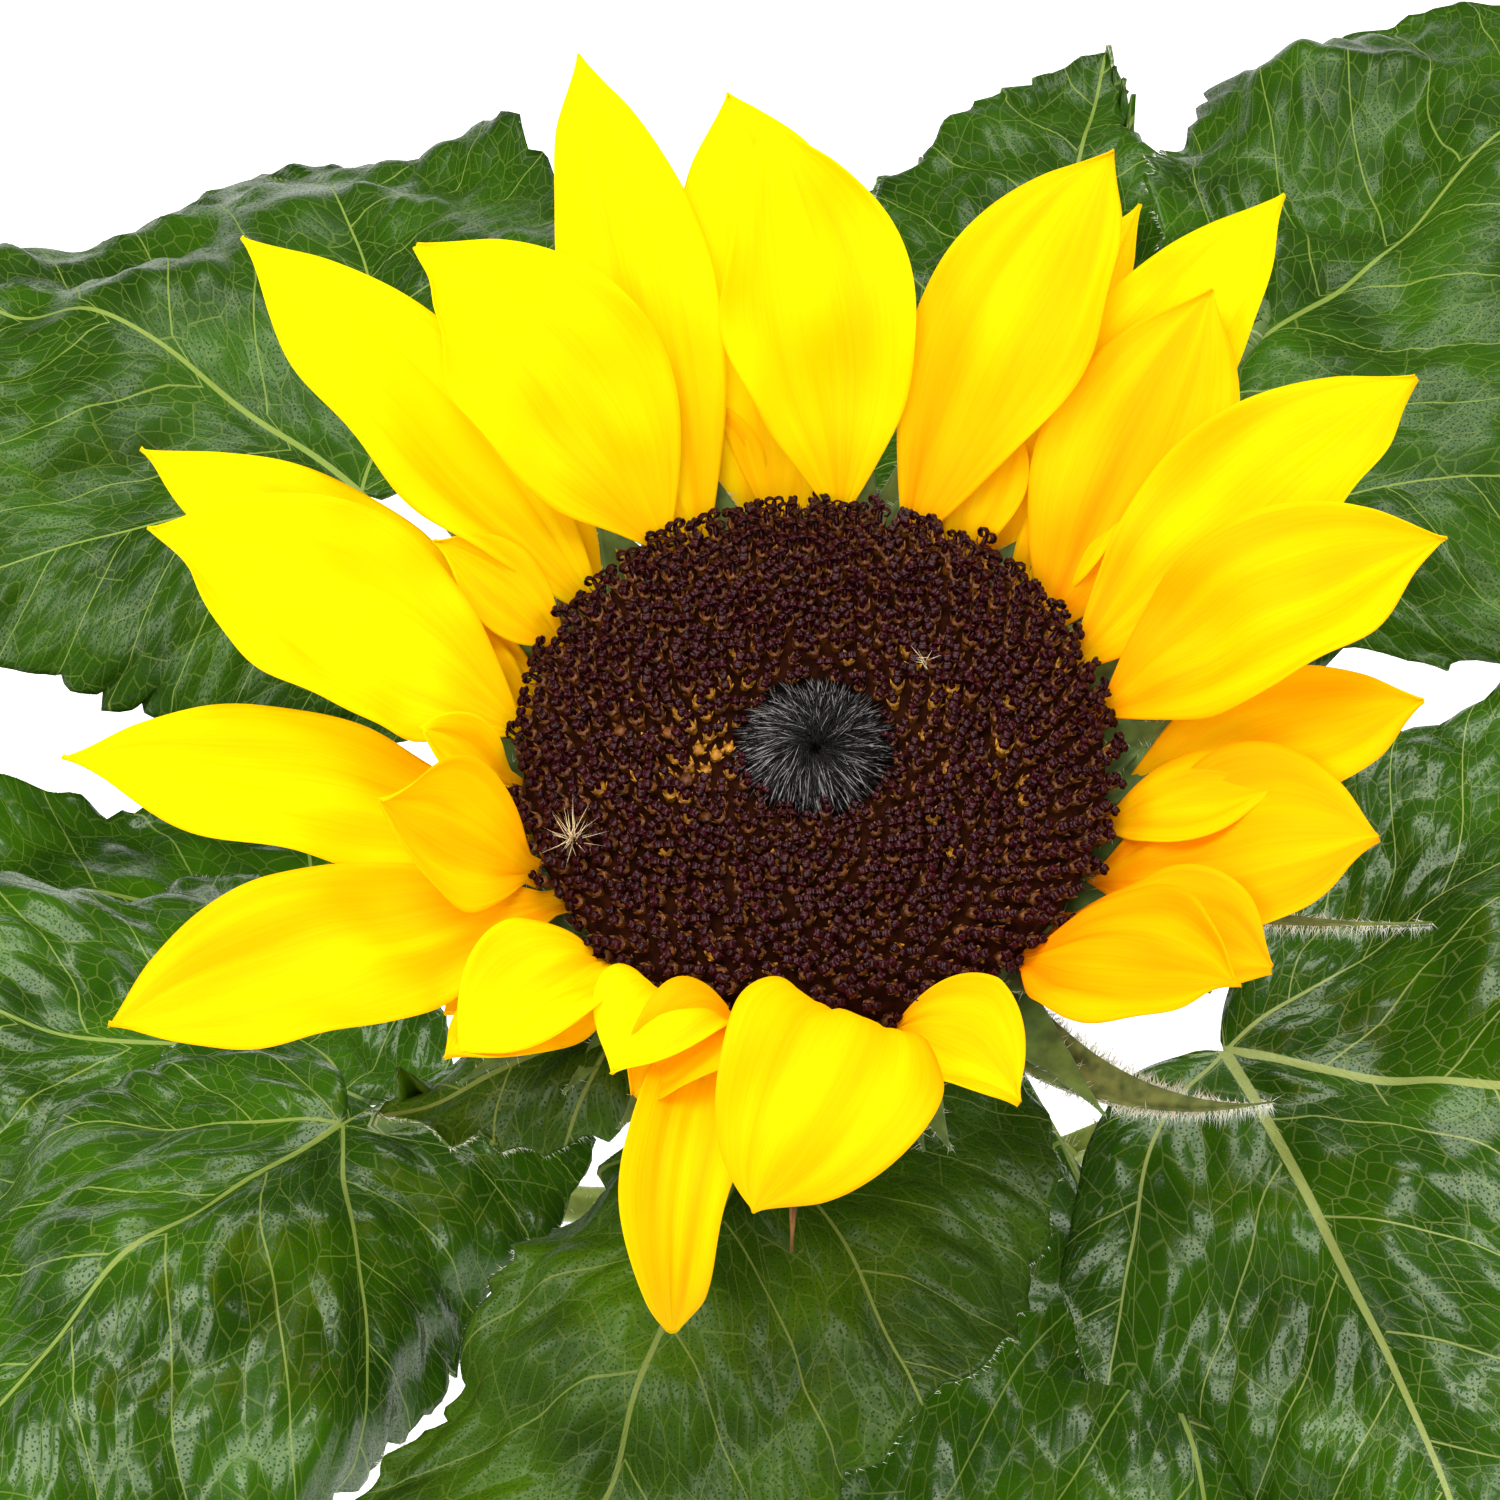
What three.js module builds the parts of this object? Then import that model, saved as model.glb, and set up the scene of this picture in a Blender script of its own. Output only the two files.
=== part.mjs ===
// Upright single-bloom sunflower, rooted: a flat cut at ground level, a bowed and
// flared stem, long-stalked leaves on all sides and one wide bloom.
// Millimetres, +Z up, origin in the middle of the flat cut at ground level.
import * as THREE from 'three';

// ---------------------------------------------------------------- bloom
const BLOOM = { x: 0, y: -4, z: 386, tilt: 10 };   // middle of the rim plane; tilt towards -Y
const RIM_RADIUS = 33;        // outside of the bloom's base, where the rays sit
const NECK_DEPTH = 22;        // rim plane down to the top of the stem
const NECK_RADIUS = 6;
const WALL_DEPTH = 9;         // upright wall that carries three rows of rays
const DISC_RADIUS = 32.4;
const DISC_RISE = 3.6;
const DISC_DIMPLE = 1.4;      // the middle lies this much under the crown of the disc
const ROW_STEP = 2.2;         // a row of rays sits this much under the one above
const ROW_TOP = 1.0;
const GAP = 0.3;              // air between touching pieces

// ---------------------------------------------------------------- stem
const STEM_HEIGHT = 364;
const STEM_BASE_RADIUS = 7.4;
const STEM_TOP_RADIUS = 5.4;
const FLARE = 4.2;
const FLARE_HEIGHT = 11;
const BOW_BACK = 64;          // bow away from the bloom's face, ends square to the neck
const LEAN_SIDE = -18;

// ---------------------------------------------------------------- thickness
const RAY_THICK = 1.1;
const LEAF_THICK = 1.8;
const STALK_RADIUS = { stem: 2.7, leaf: 1.7 };

// ---------------------------------------------------------------- rays
// azimuth of the foot on the rim, turn of the blade off that radius, row (0 = upper),
// length, width, lift over the rim plane at the foot, curl of the lift to the tip
const RAY_COLUMNS = ['az', 'turn', 'row', 'length', 'width', 'lift', 'curl'];
const RAYS = [
  [113, -6, 1, 57, 18, 39, -23, { sway: -2 }],
  [96, -12, 2, 51, 21, 36, -22, { sway: 26, blunt: 3 }],
  [85, 8, 0, 45, 23, 46, -26, { sway: 18 }],
  [70, -8, 1, 49, 21, 40, -24, { sway: -8, belly: 0.55 }],
  [64, -4, 3, 49, 12, 21, -10],
  [53, -5, 3, 56, 18, 35, -20, { belly: 0.55 }],
  [38, 17, 2, 42, 22, 40, -20, { sway: 8, cup: 6 }],
  [26, 8, 1, 49, 21, 39, -24, { sway: -4 }],
  [12, 2, 0, 44, 23, 46, -26, { sway: -6 }],
  [-4, 9, 3, 38, 19, 40, -22],
  [-21, 12, 2, 34, 25, 42, -24, { belly: 0.55 }],
  [-35, 2, 1, 29, 18, 45, -26, { belly: 0.55 }],
  [-47, 14, 0, 32, 20, 50, -26],
  [-67, 40, 0, 21, 18, 58, -22, { belly: 0.8, blunt: 4, roll: -10 }],
  [-88, 4, 0, 43, 24, 90, -170, { sway: -36, ease: 1.3, cup: 38 }],
  [-106, -6, 1, 49, 14, 76, -158, { sway: 24, ease: 0.9, cup: 34 }],
  [-118, -2, 0, 21, 13, 92, -140, { ease: 1.4 }],
  [-134, 0, 0, 26, 16, 64, -84, { ease: 1 }],
  [-129, -6, 2, 28, 12, 32, -20],
  [-160, -10, 0, 31, 15, 60, 0, { roll: -30 }],
  [-175, 0, 0, 16, 10, 58, 0],
  [-150, 0, 1, 56, 22, 28, -14, { belly: 0.55 }],
  [-168, -7, 2, 54, 19, 36, -20],
  [172, -6, 0, 48, 26, 44, -26],
  [159, -1, 2, 52, 17, 34, -20],
  [139, 2, 1, 57, 19, 39, -24],
  [121, 8, 0, 44, 26, 46, -26, { sway: 18 }],
];
const RAY_DEFAULTS = { sway: 0, roll: 0, ease: 1.4, belly: 0.5, blunt: 2, cup: null };
const RAY_CUP_BY_ROW = [28, 20, 12, 8];
const RAY_FOOT_WIDTH = 3.4;

// ---------------------------------------------------------------- leaves
// name, [x y z] of the joint of stalk and blade, heading, pitch at the joint, droop to
// the tip, length, width, height on the stem where the stalk starts
const LEAF_COLUMNS = ['name', 'at', 'heading', 'pitch', 'droop', 'length', 'width', 'from'];
const LEAVES = [
  ['front_left', [-56, -10, 328], 222, 8, -55, 102, 90, 288, { roll: 12, bend: [-95, -60] }],
  ['left', [-58, 14, 300], 166, 2, -30, 95, 84, 256, { roll: 10, bend: [-40, -30], sway: 8 }],
  ['left_under', [-62, 54, 276], 165, 5, -25, 90, 80, 222, { roll: -10 }],
  ['back_left', [-56, 84, 333], 132, 10, -35, 105, 108, 300, { sway: 38 }],
  ['back_right', [41, 84, 338], 50, 12, -30, 120, 118, 306, { sway: -6 }],
  ['back', [28, 102, 320], 77, 10, -20, 90, 66, 276, { bend: [-20, -20] }],
  ['back_under', [18, 100, 286], 90, 5, -15, 104, 60, 232, { bend: [-20, -20] }],
  ['right', [50, 4, 322], -30, 10, -42, 108, 138, 286, { roll: 10, bend: [-25, -60] }],
  ['front', [-9, -26, 346], -106, 0, -55, 100, 90, 322, { roll: 4, bend: [-45, -104] }],
  ['front_under', [24, -12, 280], -70, 5, -42, 100, 74, 240, {}],
  ['low_left', [-52, -22, 196], 205, 10, -60, 100, 80, 150, {}],
  ['low_right', [48, 28, 158], 32, 10, -60, 95, 76, 112, {}],
];
const LEAF_DEFAULTS = { roll: 0, sway: 0, bend: [-30, -30] };
const LEAF_BELLY = 0.32;      // where along its length a blade is widest
const LEAF_FOOT = 0.5;        // width at the joint as a share of the widest
const LEAF_LOBE = 0.16;       // how far the lobes reach back past the joint
const STALK_STEEPER = 30;     // a stalk meets its blade from below by this angle

// ---------------------------------------------------------------- green bracts
const BRACT_COUNT = 21;
const BRACT_REACH = 11;
const BRACT_THICK = 1.2;
const LONG_BRACTS = [
  ['long', -44, 26, 6, 0, -25],     // azimuth, length, width, lift, curl
  ['thin', -19, 34, 3.6, 8, -10],
];

const deg = THREE.MathUtils.degToRad;
const vec = (x, y, z) => new THREE.Vector3(x, y, z);
const clamp01 = (t) => Math.min(1, Math.max(0, t));

const BLOOM_X = vec(1, 0, 0);
const BLOOM_Y = vec(0, Math.cos(deg(BLOOM.tilt)), Math.sin(deg(BLOOM.tilt)));
const BLOOM_N = vec(0, -Math.sin(deg(BLOOM.tilt)), Math.cos(deg(BLOOM.tilt)));

/** A point given in the bloom's own axes, moved to the plant's. */
function bloomPoint(p) {
  return vec(BLOOM.x, BLOOM.y, BLOOM.z)
    .addScaledVector(BLOOM_X, p.x)
    .addScaledVector(BLOOM_Y, p.y)
    .addScaledVector(BLOOM_N, p.z);
}

/** Indexed faces to a geometry with flat normals. */
function solid(points, faces) {
  const geometry = new THREE.BufferGeometry().setFromPoints(points);
  geometry.setIndex(faces.flat());
  geometry.computeVertexNormals();
  return geometry;
}

/** Closed body through rings of equal count, each ring anticlockwise about the way it runs. */
function loft(rings) {
  const sides = rings[0].length;
  const points = rings.flat();
  const faces = [];
  for (let i = 0; i + 1 < rings.length; i += 1) {
    for (let k = 0; k < sides; k += 1) {
      const a = i * sides + k;
      const b = i * sides + ((k + 1) % sides);
      faces.push([a, b, b + sides], [a, b + sides, a + sides]);
    }
  }
  for (const [first, flip] of [[0, true], [(rings.length - 1) * sides, false]]) {
    const middle = points.length;
    const sum = vec(0, 0, 0);
    for (let k = 0; k < sides; k += 1) sum.add(points[first + k]);
    points.push(sum.divideScalar(sides));
    for (let k = 0; k < sides; k += 1) {
      const a = first + k;
      const b = first + ((k + 1) % sides);
      faces.push(flip ? [middle, b, a] : [middle, a, b]);
    }
  }
  return solid(points, faces);
}

/** Ring of points round a centre, square to a direction. */
function ring(centre, direction, radius, sides) {
  const along = direction.clone().normalize();
  const hint = Math.abs(along.z) > 0.9 ? vec(0, 1, 0) : vec(0, 0, 1);
  const u = hint.clone().cross(along).normalize();
  const v = along.clone().cross(u);
  return Array.from({ length: sides }, (_, k) => {
    const a = (2 * Math.PI * k) / sides;
    return centre.clone()
      .addScaledVector(u, radius * Math.cos(a))
      .addScaledVector(v, radius * Math.sin(a));
  });
}

/** Round body turned about the bloom's axis from [radius, height] pairs, bottom to top. */
function turned(profile, sides) {
  return loft(profile.map(([radius, height]) => Array.from({ length: sides }, (_, k) => {
    const a = (2 * Math.PI * k) / sides;
    return bloomPoint(vec(radius * Math.cos(a), radius * Math.sin(a), height));
  })));
}

/** Thin closed body of even thickness on a grid of middle points, rows run foot to tip. */
function blade(grid, thickness) {
  const rows = grid.length;
  const columns = grid[0].length;
  const at = (i, j) => i * columns + j;
  const count = rows * columns;
  const top = [];
  const under = [];
  for (let i = 0; i < rows; i += 1) {
    for (let j = 0; j < columns; j += 1) {
      const along = grid[Math.min(i + 1, rows - 1)][j].clone().sub(grid[Math.max(i - 1, 0)][j]);
      const across = grid[i][Math.min(j + 1, columns - 1)].clone()
        .sub(grid[i][Math.max(j - 1, 0)]);
      const normal = along.cross(across).normalize();
      top.push(grid[i][j].clone().addScaledVector(normal, thickness / 2));
      under.push(grid[i][j].clone().addScaledVector(normal, -thickness / 2));
    }
  }
  const faces = [];
  for (let i = 0; i + 1 < rows; i += 1) {
    for (let j = 0; j + 1 < columns; j += 1) {
      const [a, b, c, d] = [at(i, j), at(i + 1, j), at(i + 1, j + 1), at(i, j + 1)];
      faces.push([a, b, c], [a, c, d]);
      faces.push([a + count, c + count, b + count], [a + count, d + count, c + count]);
    }
  }
  const wall = (a, b) => faces.push([b, a, a + count], [b, a + count, b + count]);
  for (let i = 0; i + 1 < rows; i += 1) {
    wall(at(i, 0), at(i + 1, 0));
    wall(at(i + 1, columns - 1), at(i, columns - 1));
  }
  for (let j = 0; j + 1 < columns; j += 1) {
    wall(at(rows - 1, j), at(rows - 1, j + 1));
    wall(at(0, j + 1), at(0, j));
  }
  return solid([...top, ...under], faces);
}

/** Middle line of a blade: points and frames for shares 0..1 of its length. */
function midrib(start, length, heading, sway, lift, curl, ease, rows) {
  const fine = 24;
  const steps = rows * fine;
  const point = start.clone();
  const frames = [];
  for (let i = 0; i <= steps; i += 1) {
    const t = i / steps;
    const h = heading + sway * t;
    const e = lift + curl * t ** ease;
    const tangent = vec(Math.cos(e) * Math.cos(h), Math.cos(e) * Math.sin(h), Math.sin(e));
    if (i % fine === 0) {
      const side = vec(-Math.sin(h), Math.cos(h), 0);
      frames.push({ t, point: point.clone(), tangent, side, up: tangent.clone().cross(side) });
    }
    point.addScaledVector(tangent, length / steps);
  }
  return frames;
}

/** Turn a frame's side and up about its tangent. */
function rolled(frame, roll) {
  const side = frame.side.clone().multiplyScalar(Math.cos(roll))
    .addScaledVector(frame.up, Math.sin(roll));
  const up = frame.up.clone().multiplyScalar(Math.cos(roll))
    .addScaledVector(frame.side, -Math.sin(roll));
  return { side, up };
}

/** Half width of a ray at share t of its length, as a share of its widest. */
function rayShape(t, belly, blunt, foot) {
  const rise = foot + (1 - foot) * Math.sin((clamp01(t / belly) * Math.PI) / 2);
  const fall = 1 - clamp01((t - belly) / (1 - belly)) ** blunt;
  return rise * fall;
}

/** Grid of middle points of one ray, in the plant's axes. */
function rayGrid(ray, rows = 7, halves = 2) {
  const az = deg(ray.az);
  const corner = Math.abs(Math.sin(deg(ray.turn))) + Math.abs(Math.sin(deg(ray.roll)));
  const clear = RIM_RADIUS + GAP + 0.3 + (RAY_THICK / 2) * Math.sin(deg(ray.lift))
    + (RAY_FOOT_WIDTH / 2) * 0.6 * corner;
  const start = vec(clear * Math.cos(az), clear * Math.sin(az), -ROW_TOP - ROW_STEP * ray.row);
  const frames = midrib(
    start, ray.length, az + deg(ray.turn), deg(ray.sway), deg(ray.lift), deg(ray.curl),
    ray.ease, rows,
  );
  const cup = deg(ray.cup ?? RAY_CUP_BY_ROW[ray.row]);
  return frames.map((frame) => {
    const { side, up } = rolled(frame, deg(ray.roll));
    const shape = rayShape(frame.t, ray.belly, ray.blunt, RAY_FOOT_WIDTH / ray.width);
    const half = Math.max(0.25, (ray.width / 2) * shape);
    const row = [];
    for (let j = -halves; j <= halves; j += 1) {
      const c = j / halves;
      const p = frame.point.clone()
        .addScaledVector(side, (half * Math.sin(cup * c)) / cup)
        .addScaledVector(up, (half * (1 - Math.cos(cup * c))) / cup);
      row.push(bloomPoint(p));
    }
    return row;
  });
}

/** Half width of a leaf blade at share t of its length, as a share of its widest. */
function leafShape(t) {
  const rise = LEAF_FOOT + (1 - LEAF_FOOT) * Math.sin((clamp01(t / LEAF_BELLY) * Math.PI) / 2);
  const fall = 1 - clamp01((t - LEAF_BELLY) / (1 - LEAF_BELLY)) ** 1.6;
  return rise * fall;
}

/** Grid of middle points of one leaf blade. */
function leafGrid(leaf, rows = 7, halves = 3) {
  const frames = midrib(
    vec(...leaf.at), leaf.length, deg(leaf.heading), deg(leaf.sway), deg(leaf.pitch),
    deg(leaf.droop), 1.2, rows,
  );
  return frames.map((frame) => {
    const { side, up } = rolled(frame, deg(leaf.roll));
    const half = Math.max(0.5, (leaf.width / 2) * leafShape(frame.t));
    const row = [];
    for (let j = -halves; j <= halves; j += 1) {
      const c = Math.abs(j / halves);
      const bend = deg(j > 0 ? leaf.bend[0] : leaf.bend[1]) * ((2 * half) / leaf.width);
      const parts = 8;
      let out = 0;
      let rise = 0;
      for (let k = 0; k < parts; k += 1) {
        const angle = bend * c * ((k + 0.5) / parts);
        out += (half * c * Math.cos(angle)) / parts;
        rise += (half * c * Math.sin(angle)) / parts;
      }
      const back = LEAF_LOBE * leaf.length * c ** 2 * (1 - frame.t) ** 2.5;
      row.push(frame.point.clone()
        .addScaledVector(frame.tangent, -back)
        .addScaledVector(side, Math.sign(j) * out)
        .addScaledVector(up, rise));
    }
    return row;
  });
}

/** Middle of the stem at a height. */
function stemCentre(z) {
  const s = z / STEM_HEIGHT;
  return vec(LEAN_SIDE * s * (1 - s) ** 2, BOW_BACK * s ** 2 * (1 - s), z);
}

/** Radius of the stem at a height: a straight taper and the flare at the ground. */
function stemRadius(z) {
  const taper = STEM_BASE_RADIUS + (STEM_TOP_RADIUS - STEM_BASE_RADIUS) * (z / STEM_HEIGHT);
  return taper + FLARE * Math.exp(-z / FLARE_HEIGHT);
}

function stemSolid(sides = 12) {
  const heights = [0, 4, 9, 16, 28, 60, 110, 160, 210, 250, 285, 315, 342, STEM_HEIGHT];
  return loft(heights.map((z, i) => {
    const way = stemCentre(z + 0.5).sub(stemCentre(z - 0.5));
    return ring(stemCentre(z), i === 0 ? vec(0, 0, 1) : way, stemRadius(z), sides);
  }));
}

/** Stalk from the stem to a leaf's joint: leaves the stem square, meets the blade from below. */
function stalkSolid(leaf, sides = 6, steps = 6) {
  const joint = vec(...leaf.at);
  const centre = stemCentre(leaf.from);
  const out = vec(joint.x - centre.x, joint.y - centre.y, 0).normalize();
  const way = stemCentre(leaf.from + 1).sub(stemCentre(leaf.from - 1)).normalize();
  const clearStem = stemRadius(leaf.from) + GAP + STALK_RADIUS.stem * Math.abs(out.dot(way));
  const start = centre.clone().addScaledVector(out, clearStem);
  const steep = deg(leaf.pitch + STALK_STEEPER);
  const heading = deg(leaf.heading);
  const arrive = vec(
    Math.cos(steep) * Math.cos(heading), Math.cos(steep) * Math.sin(heading), Math.sin(steep),
  );
  const clear = GAP + 0.1 + STALK_RADIUS.leaf * Math.sin(deg(STALK_STEEPER));
  const end = joint.clone().addScaledVector(arrive, -clear);
  const reach = start.distanceTo(end) * 0.36;
  const curve = new THREE.CubicBezierCurve3(
    start, start.clone().addScaledVector(out, reach),
    end.clone().addScaledVector(arrive, -reach), end,
  );
  return loft(Array.from({ length: steps + 1 }, (_, i) => {
    const t = i / steps;
    const radius = STALK_RADIUS.stem + (STALK_RADIUS.leaf - STALK_RADIUS.stem) * t ** 0.7;
    return ring(curve.getPoint(t), curve.getTangent(t), radius, sides);
  }));
}

/** Cup of pointed green bracts under the rays, one closed band round the bloom's base. */
function bractCup(perBract = 2) {
  const count = BRACT_COUNT * perBract;
  const loops = [];
  for (let k = 0; k < count; k += 1) {
    const a = (2 * Math.PI * k) / count;
    const point = 1 - Math.abs(((k % perBract) / perBract) * 2 - 1);
    const reach = RIM_RADIUS + 1.2 + BRACT_REACH * point;
    const inner = [[22, -17.2], [RIM_RADIUS + 0.4, -WALL_DEPTH - 0.9], [reach, -WALL_DEPTH + 0.5]];
    const outer = inner.map(([r, z]) => [r, z - BRACT_THICK]).reverse();
    loops.push([...inner, ...outer].map(([r, z]) => bloomPoint(
      vec(r * Math.cos(a), r * Math.sin(a), z),
    )));
  }
  const size = loops[0].length;
  const faces = [];
  for (let k = 0; k < count; k += 1) {
    for (let m = 0; m < size; m += 1) {
      const a = k * size + m;
      const b = k * size + ((m + 1) % size);
      const c = ((k + 1) % count) * size + ((m + 1) % size);
      const d = ((k + 1) % count) * size + m;
      faces.push([a, b, c], [a, c, d]);
    }
  }
  return solid(loops.flat(), faces);
}

/** One long loose bract that starts under the cup. */
function longBract([, az, length, width, lift, curl], rows = 8) {
  const a = deg(az);
  const start = vec((RIM_RADIUS - 3) * Math.cos(a), (RIM_RADIUS - 3) * Math.sin(a), -14.0);
  const frames = midrib(start, length, a, 0, deg(lift), deg(curl), 1.2, rows);
  return frames.map((frame) => [-1, 0, 1].map((c) => {
    const half = Math.max(0.3, (width / 2) * (1 - frame.t) ** 0.8);
    return bloomPoint(frame.point.clone().addScaledVector(frame.side, c * half));
  }));
}

const material = (color, roughness) => new THREE.MeshStandardMaterial({
  color, roughness, metalness: 0, side: THREE.FrontSide,
});
const STEM_GREEN = material(0x7e9440, 0.6);
const STALK_GREEN = material(0x8fa24c, 0.6);
const LEAF_GREEN = material(0x3f6420, 0.45);
const BRACT_GREEN = material(0x4f6b2c, 0.7);
const RAY_YELLOW = material(0xffd800, 0.5);
const DISC_BROWN = material(0x32120f, 0.7);

const group = new THREE.Group();
group.name = 'sunflower_plant';

function add(name, geometry, look) {
  const mesh = new THREE.Mesh(geometry, look);
  mesh.name = name;
  group.add(mesh);
}

add('stem', stemSolid(), STEM_GREEN);
add('bloom_base', turned([
  [NECK_RADIUS, -NECK_DEPTH + GAP], [9, -19.5], [20, -15.5], [30, -11.5],
  [RIM_RADIUS, -WALL_DEPTH], [RIM_RADIUS, -GAP],
], 32), BRACT_GREEN);
add('bloom_disc', turned([
  [DISC_RADIUS, 0], [DISC_RADIUS, 1], [28, 2.6], [20, DISC_RISE], [11, DISC_RISE],
  [5, DISC_RISE - DISC_DIMPLE],
], 32), DISC_BROWN);
add('bract_cup', bractCup(), BRACT_GREEN);
for (const row of LONG_BRACTS) add(`bract_${row[0]}`, blade(longBract(row), 1), BRACT_GREEN);

RAYS.forEach((row, i) => {
  const named = Object.fromEntries(RAY_COLUMNS.map((key, k) => [key, row[k]]));
  const ray = { ...RAY_DEFAULTS, ...named, ...row[RAY_COLUMNS.length] };
  const rows = Math.abs(ray.curl) > 60 ? 10 : 7;
  const name = `ray_${String(i + 1).padStart(2, '0')}`;
  add(name, blade(rayGrid(ray, rows), RAY_THICK), RAY_YELLOW);
});

for (const row of LEAVES) {
  const named = Object.fromEntries(LEAF_COLUMNS.map((key, k) => [key, row[k]]));
  const leaf = { ...LEAF_DEFAULTS, ...named, ...row[LEAF_COLUMNS.length] };
  add(`stalk_${leaf.name}`, stalkSolid(leaf), STALK_GREEN);
  add(`leaf_${leaf.name}`, blade(leafGrid(leaf), LEAF_THICK), LEAF_GREEN);
}

export default group;
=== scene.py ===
"""Looks of an upright, rooted sunflower with one wide bloom.

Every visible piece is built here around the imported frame, which stays hidden behind it. Sizes are in
millimetres until a mesh is made, and metres after that. The plant stands on the ground at z = 0.
"""

from __future__ import annotations

import logging
import math
from dataclasses import dataclass, field
from enum import Enum
from functools import partial
from typing import Any, Callable, Iterable, NamedTuple, Sequence

import bpy
import numpy as np
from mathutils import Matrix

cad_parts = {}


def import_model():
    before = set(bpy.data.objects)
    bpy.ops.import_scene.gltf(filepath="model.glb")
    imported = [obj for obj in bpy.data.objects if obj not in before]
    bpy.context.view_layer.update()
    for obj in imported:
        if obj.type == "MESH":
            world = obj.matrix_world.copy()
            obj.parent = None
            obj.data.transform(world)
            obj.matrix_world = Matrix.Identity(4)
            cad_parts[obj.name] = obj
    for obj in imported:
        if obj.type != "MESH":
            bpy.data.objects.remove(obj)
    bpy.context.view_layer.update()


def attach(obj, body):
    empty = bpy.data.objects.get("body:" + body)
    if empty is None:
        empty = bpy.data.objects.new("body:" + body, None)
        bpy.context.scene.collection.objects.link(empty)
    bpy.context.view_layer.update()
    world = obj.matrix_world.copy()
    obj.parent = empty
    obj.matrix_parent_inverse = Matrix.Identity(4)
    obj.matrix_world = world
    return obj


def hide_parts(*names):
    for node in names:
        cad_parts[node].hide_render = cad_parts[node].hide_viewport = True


LOG = logging.getLogger("sunflower")
MM = 0.001
BODY = "root"

FOOT_TUCK = 2.4            # millimetres of a ray's foot that sit under the florets
NET_RANDOM = 0.85          # how uneven the cells of the vein net are
NET_CELL = 9.4             # millimetres across a cell between the small veins
NET_FINE = 2.5             # millimetres across a cell of the finest net
LATERAL_STEP = 15.0        # millimetres between side veins, along the midrib
LATERAL_SLANT = 0.78       # share of that step that lies square to the veins
BASAL_STEP = 11.0          # millimetres between the branches of the lowest side vein
BASAL_SLANT = 0.8          # distance from the lowest side vein, as a share of that along the midrib
WAX_TINT = (0.92, 1.0, 0.8, 1.0)  # the wax on a leaf reflects a little greener than white
BASAL_TURN = 54.0          # degrees from the midrib to the branches of the lowest side vein
GOLDEN = 3 - math.sqrt(5)  # half turns from one floret to the next
STALK_RISE = 52.0          # degrees by which a stalk arrives steeper than its blade leaves
LATHE_TURN = np.linspace(0, 2 * np.pi, 97)[:-1]

Array = np.ndarray
Body = tuple[Array, Sequence[Array]]  # points, and arrays of faces


class Slot(str, Enum):
    """Names of material slots, which Organ.add is given."""

    RAY = "ray_petal"
    DISC = "disc_floret"
    LEAF = "leaf_blade"
    STALK = "leaf_stalk"
    STEM = "stem_skin"
    BRACT = "bract_green"


# ------------------------------------------------------------------ small maths


def linear(code: str) -> tuple[float, float, float, float]:
    """Turn an sRGB hex colour to linear light.

    Args:
        code: colour such as "#ffcc00".

    Returns:
        Red, green, blue and an alpha of one.
    """
    parts = [int(code[i : i + 2], 16) / 255 for i in (1, 3, 5)]
    lit = [p / 12.92 if p <= 0.04045 else ((p + 0.055) / 1.055) ** 2.4 for p in parts]
    return lit[0], lit[1], lit[2], 1.0


def rad(angle: float) -> float:
    """Degrees to radians."""
    return math.radians(angle)


def smooth(x: Array | float, low: float, high: float) -> Array:
    """Smooth step from 0 at low to 1 at high."""
    t = np.clip((np.asarray(x, float) - low) / (high - low), 0, 1)
    return t * t * (3 - 2 * t)


def bell(x: Array | float, width: float) -> Array:
    """Bell curve, 1 in the middle and small beyond its width."""
    return np.exp(-np.square(np.asarray(x, float) / width))


def unit(v: Array) -> Array:
    """Vectors along the last axis, scaled to length one."""
    return v / np.maximum(np.linalg.norm(v, axis=-1, keepdims=True), 1e-12)


def around(angle: Array) -> Array:
    """Level unit vectors at angles."""
    return np.stack([np.cos(angle), np.sin(angle), np.zeros_like(angle)], -1)


def aim(heading: float, lift: float) -> Array:
    """Unit vector at a heading and a lift, both in degrees."""
    h, e = rad(heading), rad(lift)
    return np.array([math.cos(e) * math.cos(h), math.cos(e) * math.sin(h), math.sin(e)])


def round_turn(sides: int) -> Array:
    """Angles of the corners of a regular outline."""
    return 2 * np.pi * np.arange(sides) / sides


def between(line: Array, low: Array, part: Array) -> Array:
    """Points on a line of points, at a part of the way from point low to the next."""
    return line[low] * (1 - part) + line[low + 1] * part


def halves(across: Array, pair: Sequence[Any]) -> Array:
    """The first of a pair on the left half of a blade, the second on the right."""
    return np.where(across > 0, pair[0], pair[1])


def ripple(x: Array, y: Array, size: float, seed: int, waves: int = 14) -> Array:
    """Smooth random relief made of a handful of plane waves.

    Args:
        x: first coordinate, in millimetres.
        y: second coordinate, in millimetres.
        size: middle wavelength, in millimetres.
        seed: which relief.
        waves: how many plane waves.

    Returns:
        Heights with a spread of about one.
    """
    rng = np.random.default_rng(seed)
    turn, phase = rng.uniform(0, 2 * np.pi, (2, waves))
    pace = 2 * np.pi / (size * rng.uniform(0.6, 1.6, waves))
    total = sum(np.sin(k * (x * np.cos(a) + y * np.sin(a)) + p) for k, a, p in zip(pace, turn, phase))
    return total * math.sqrt(2 / waves)


# ------------------------------------------------------------------ nodes

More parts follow.
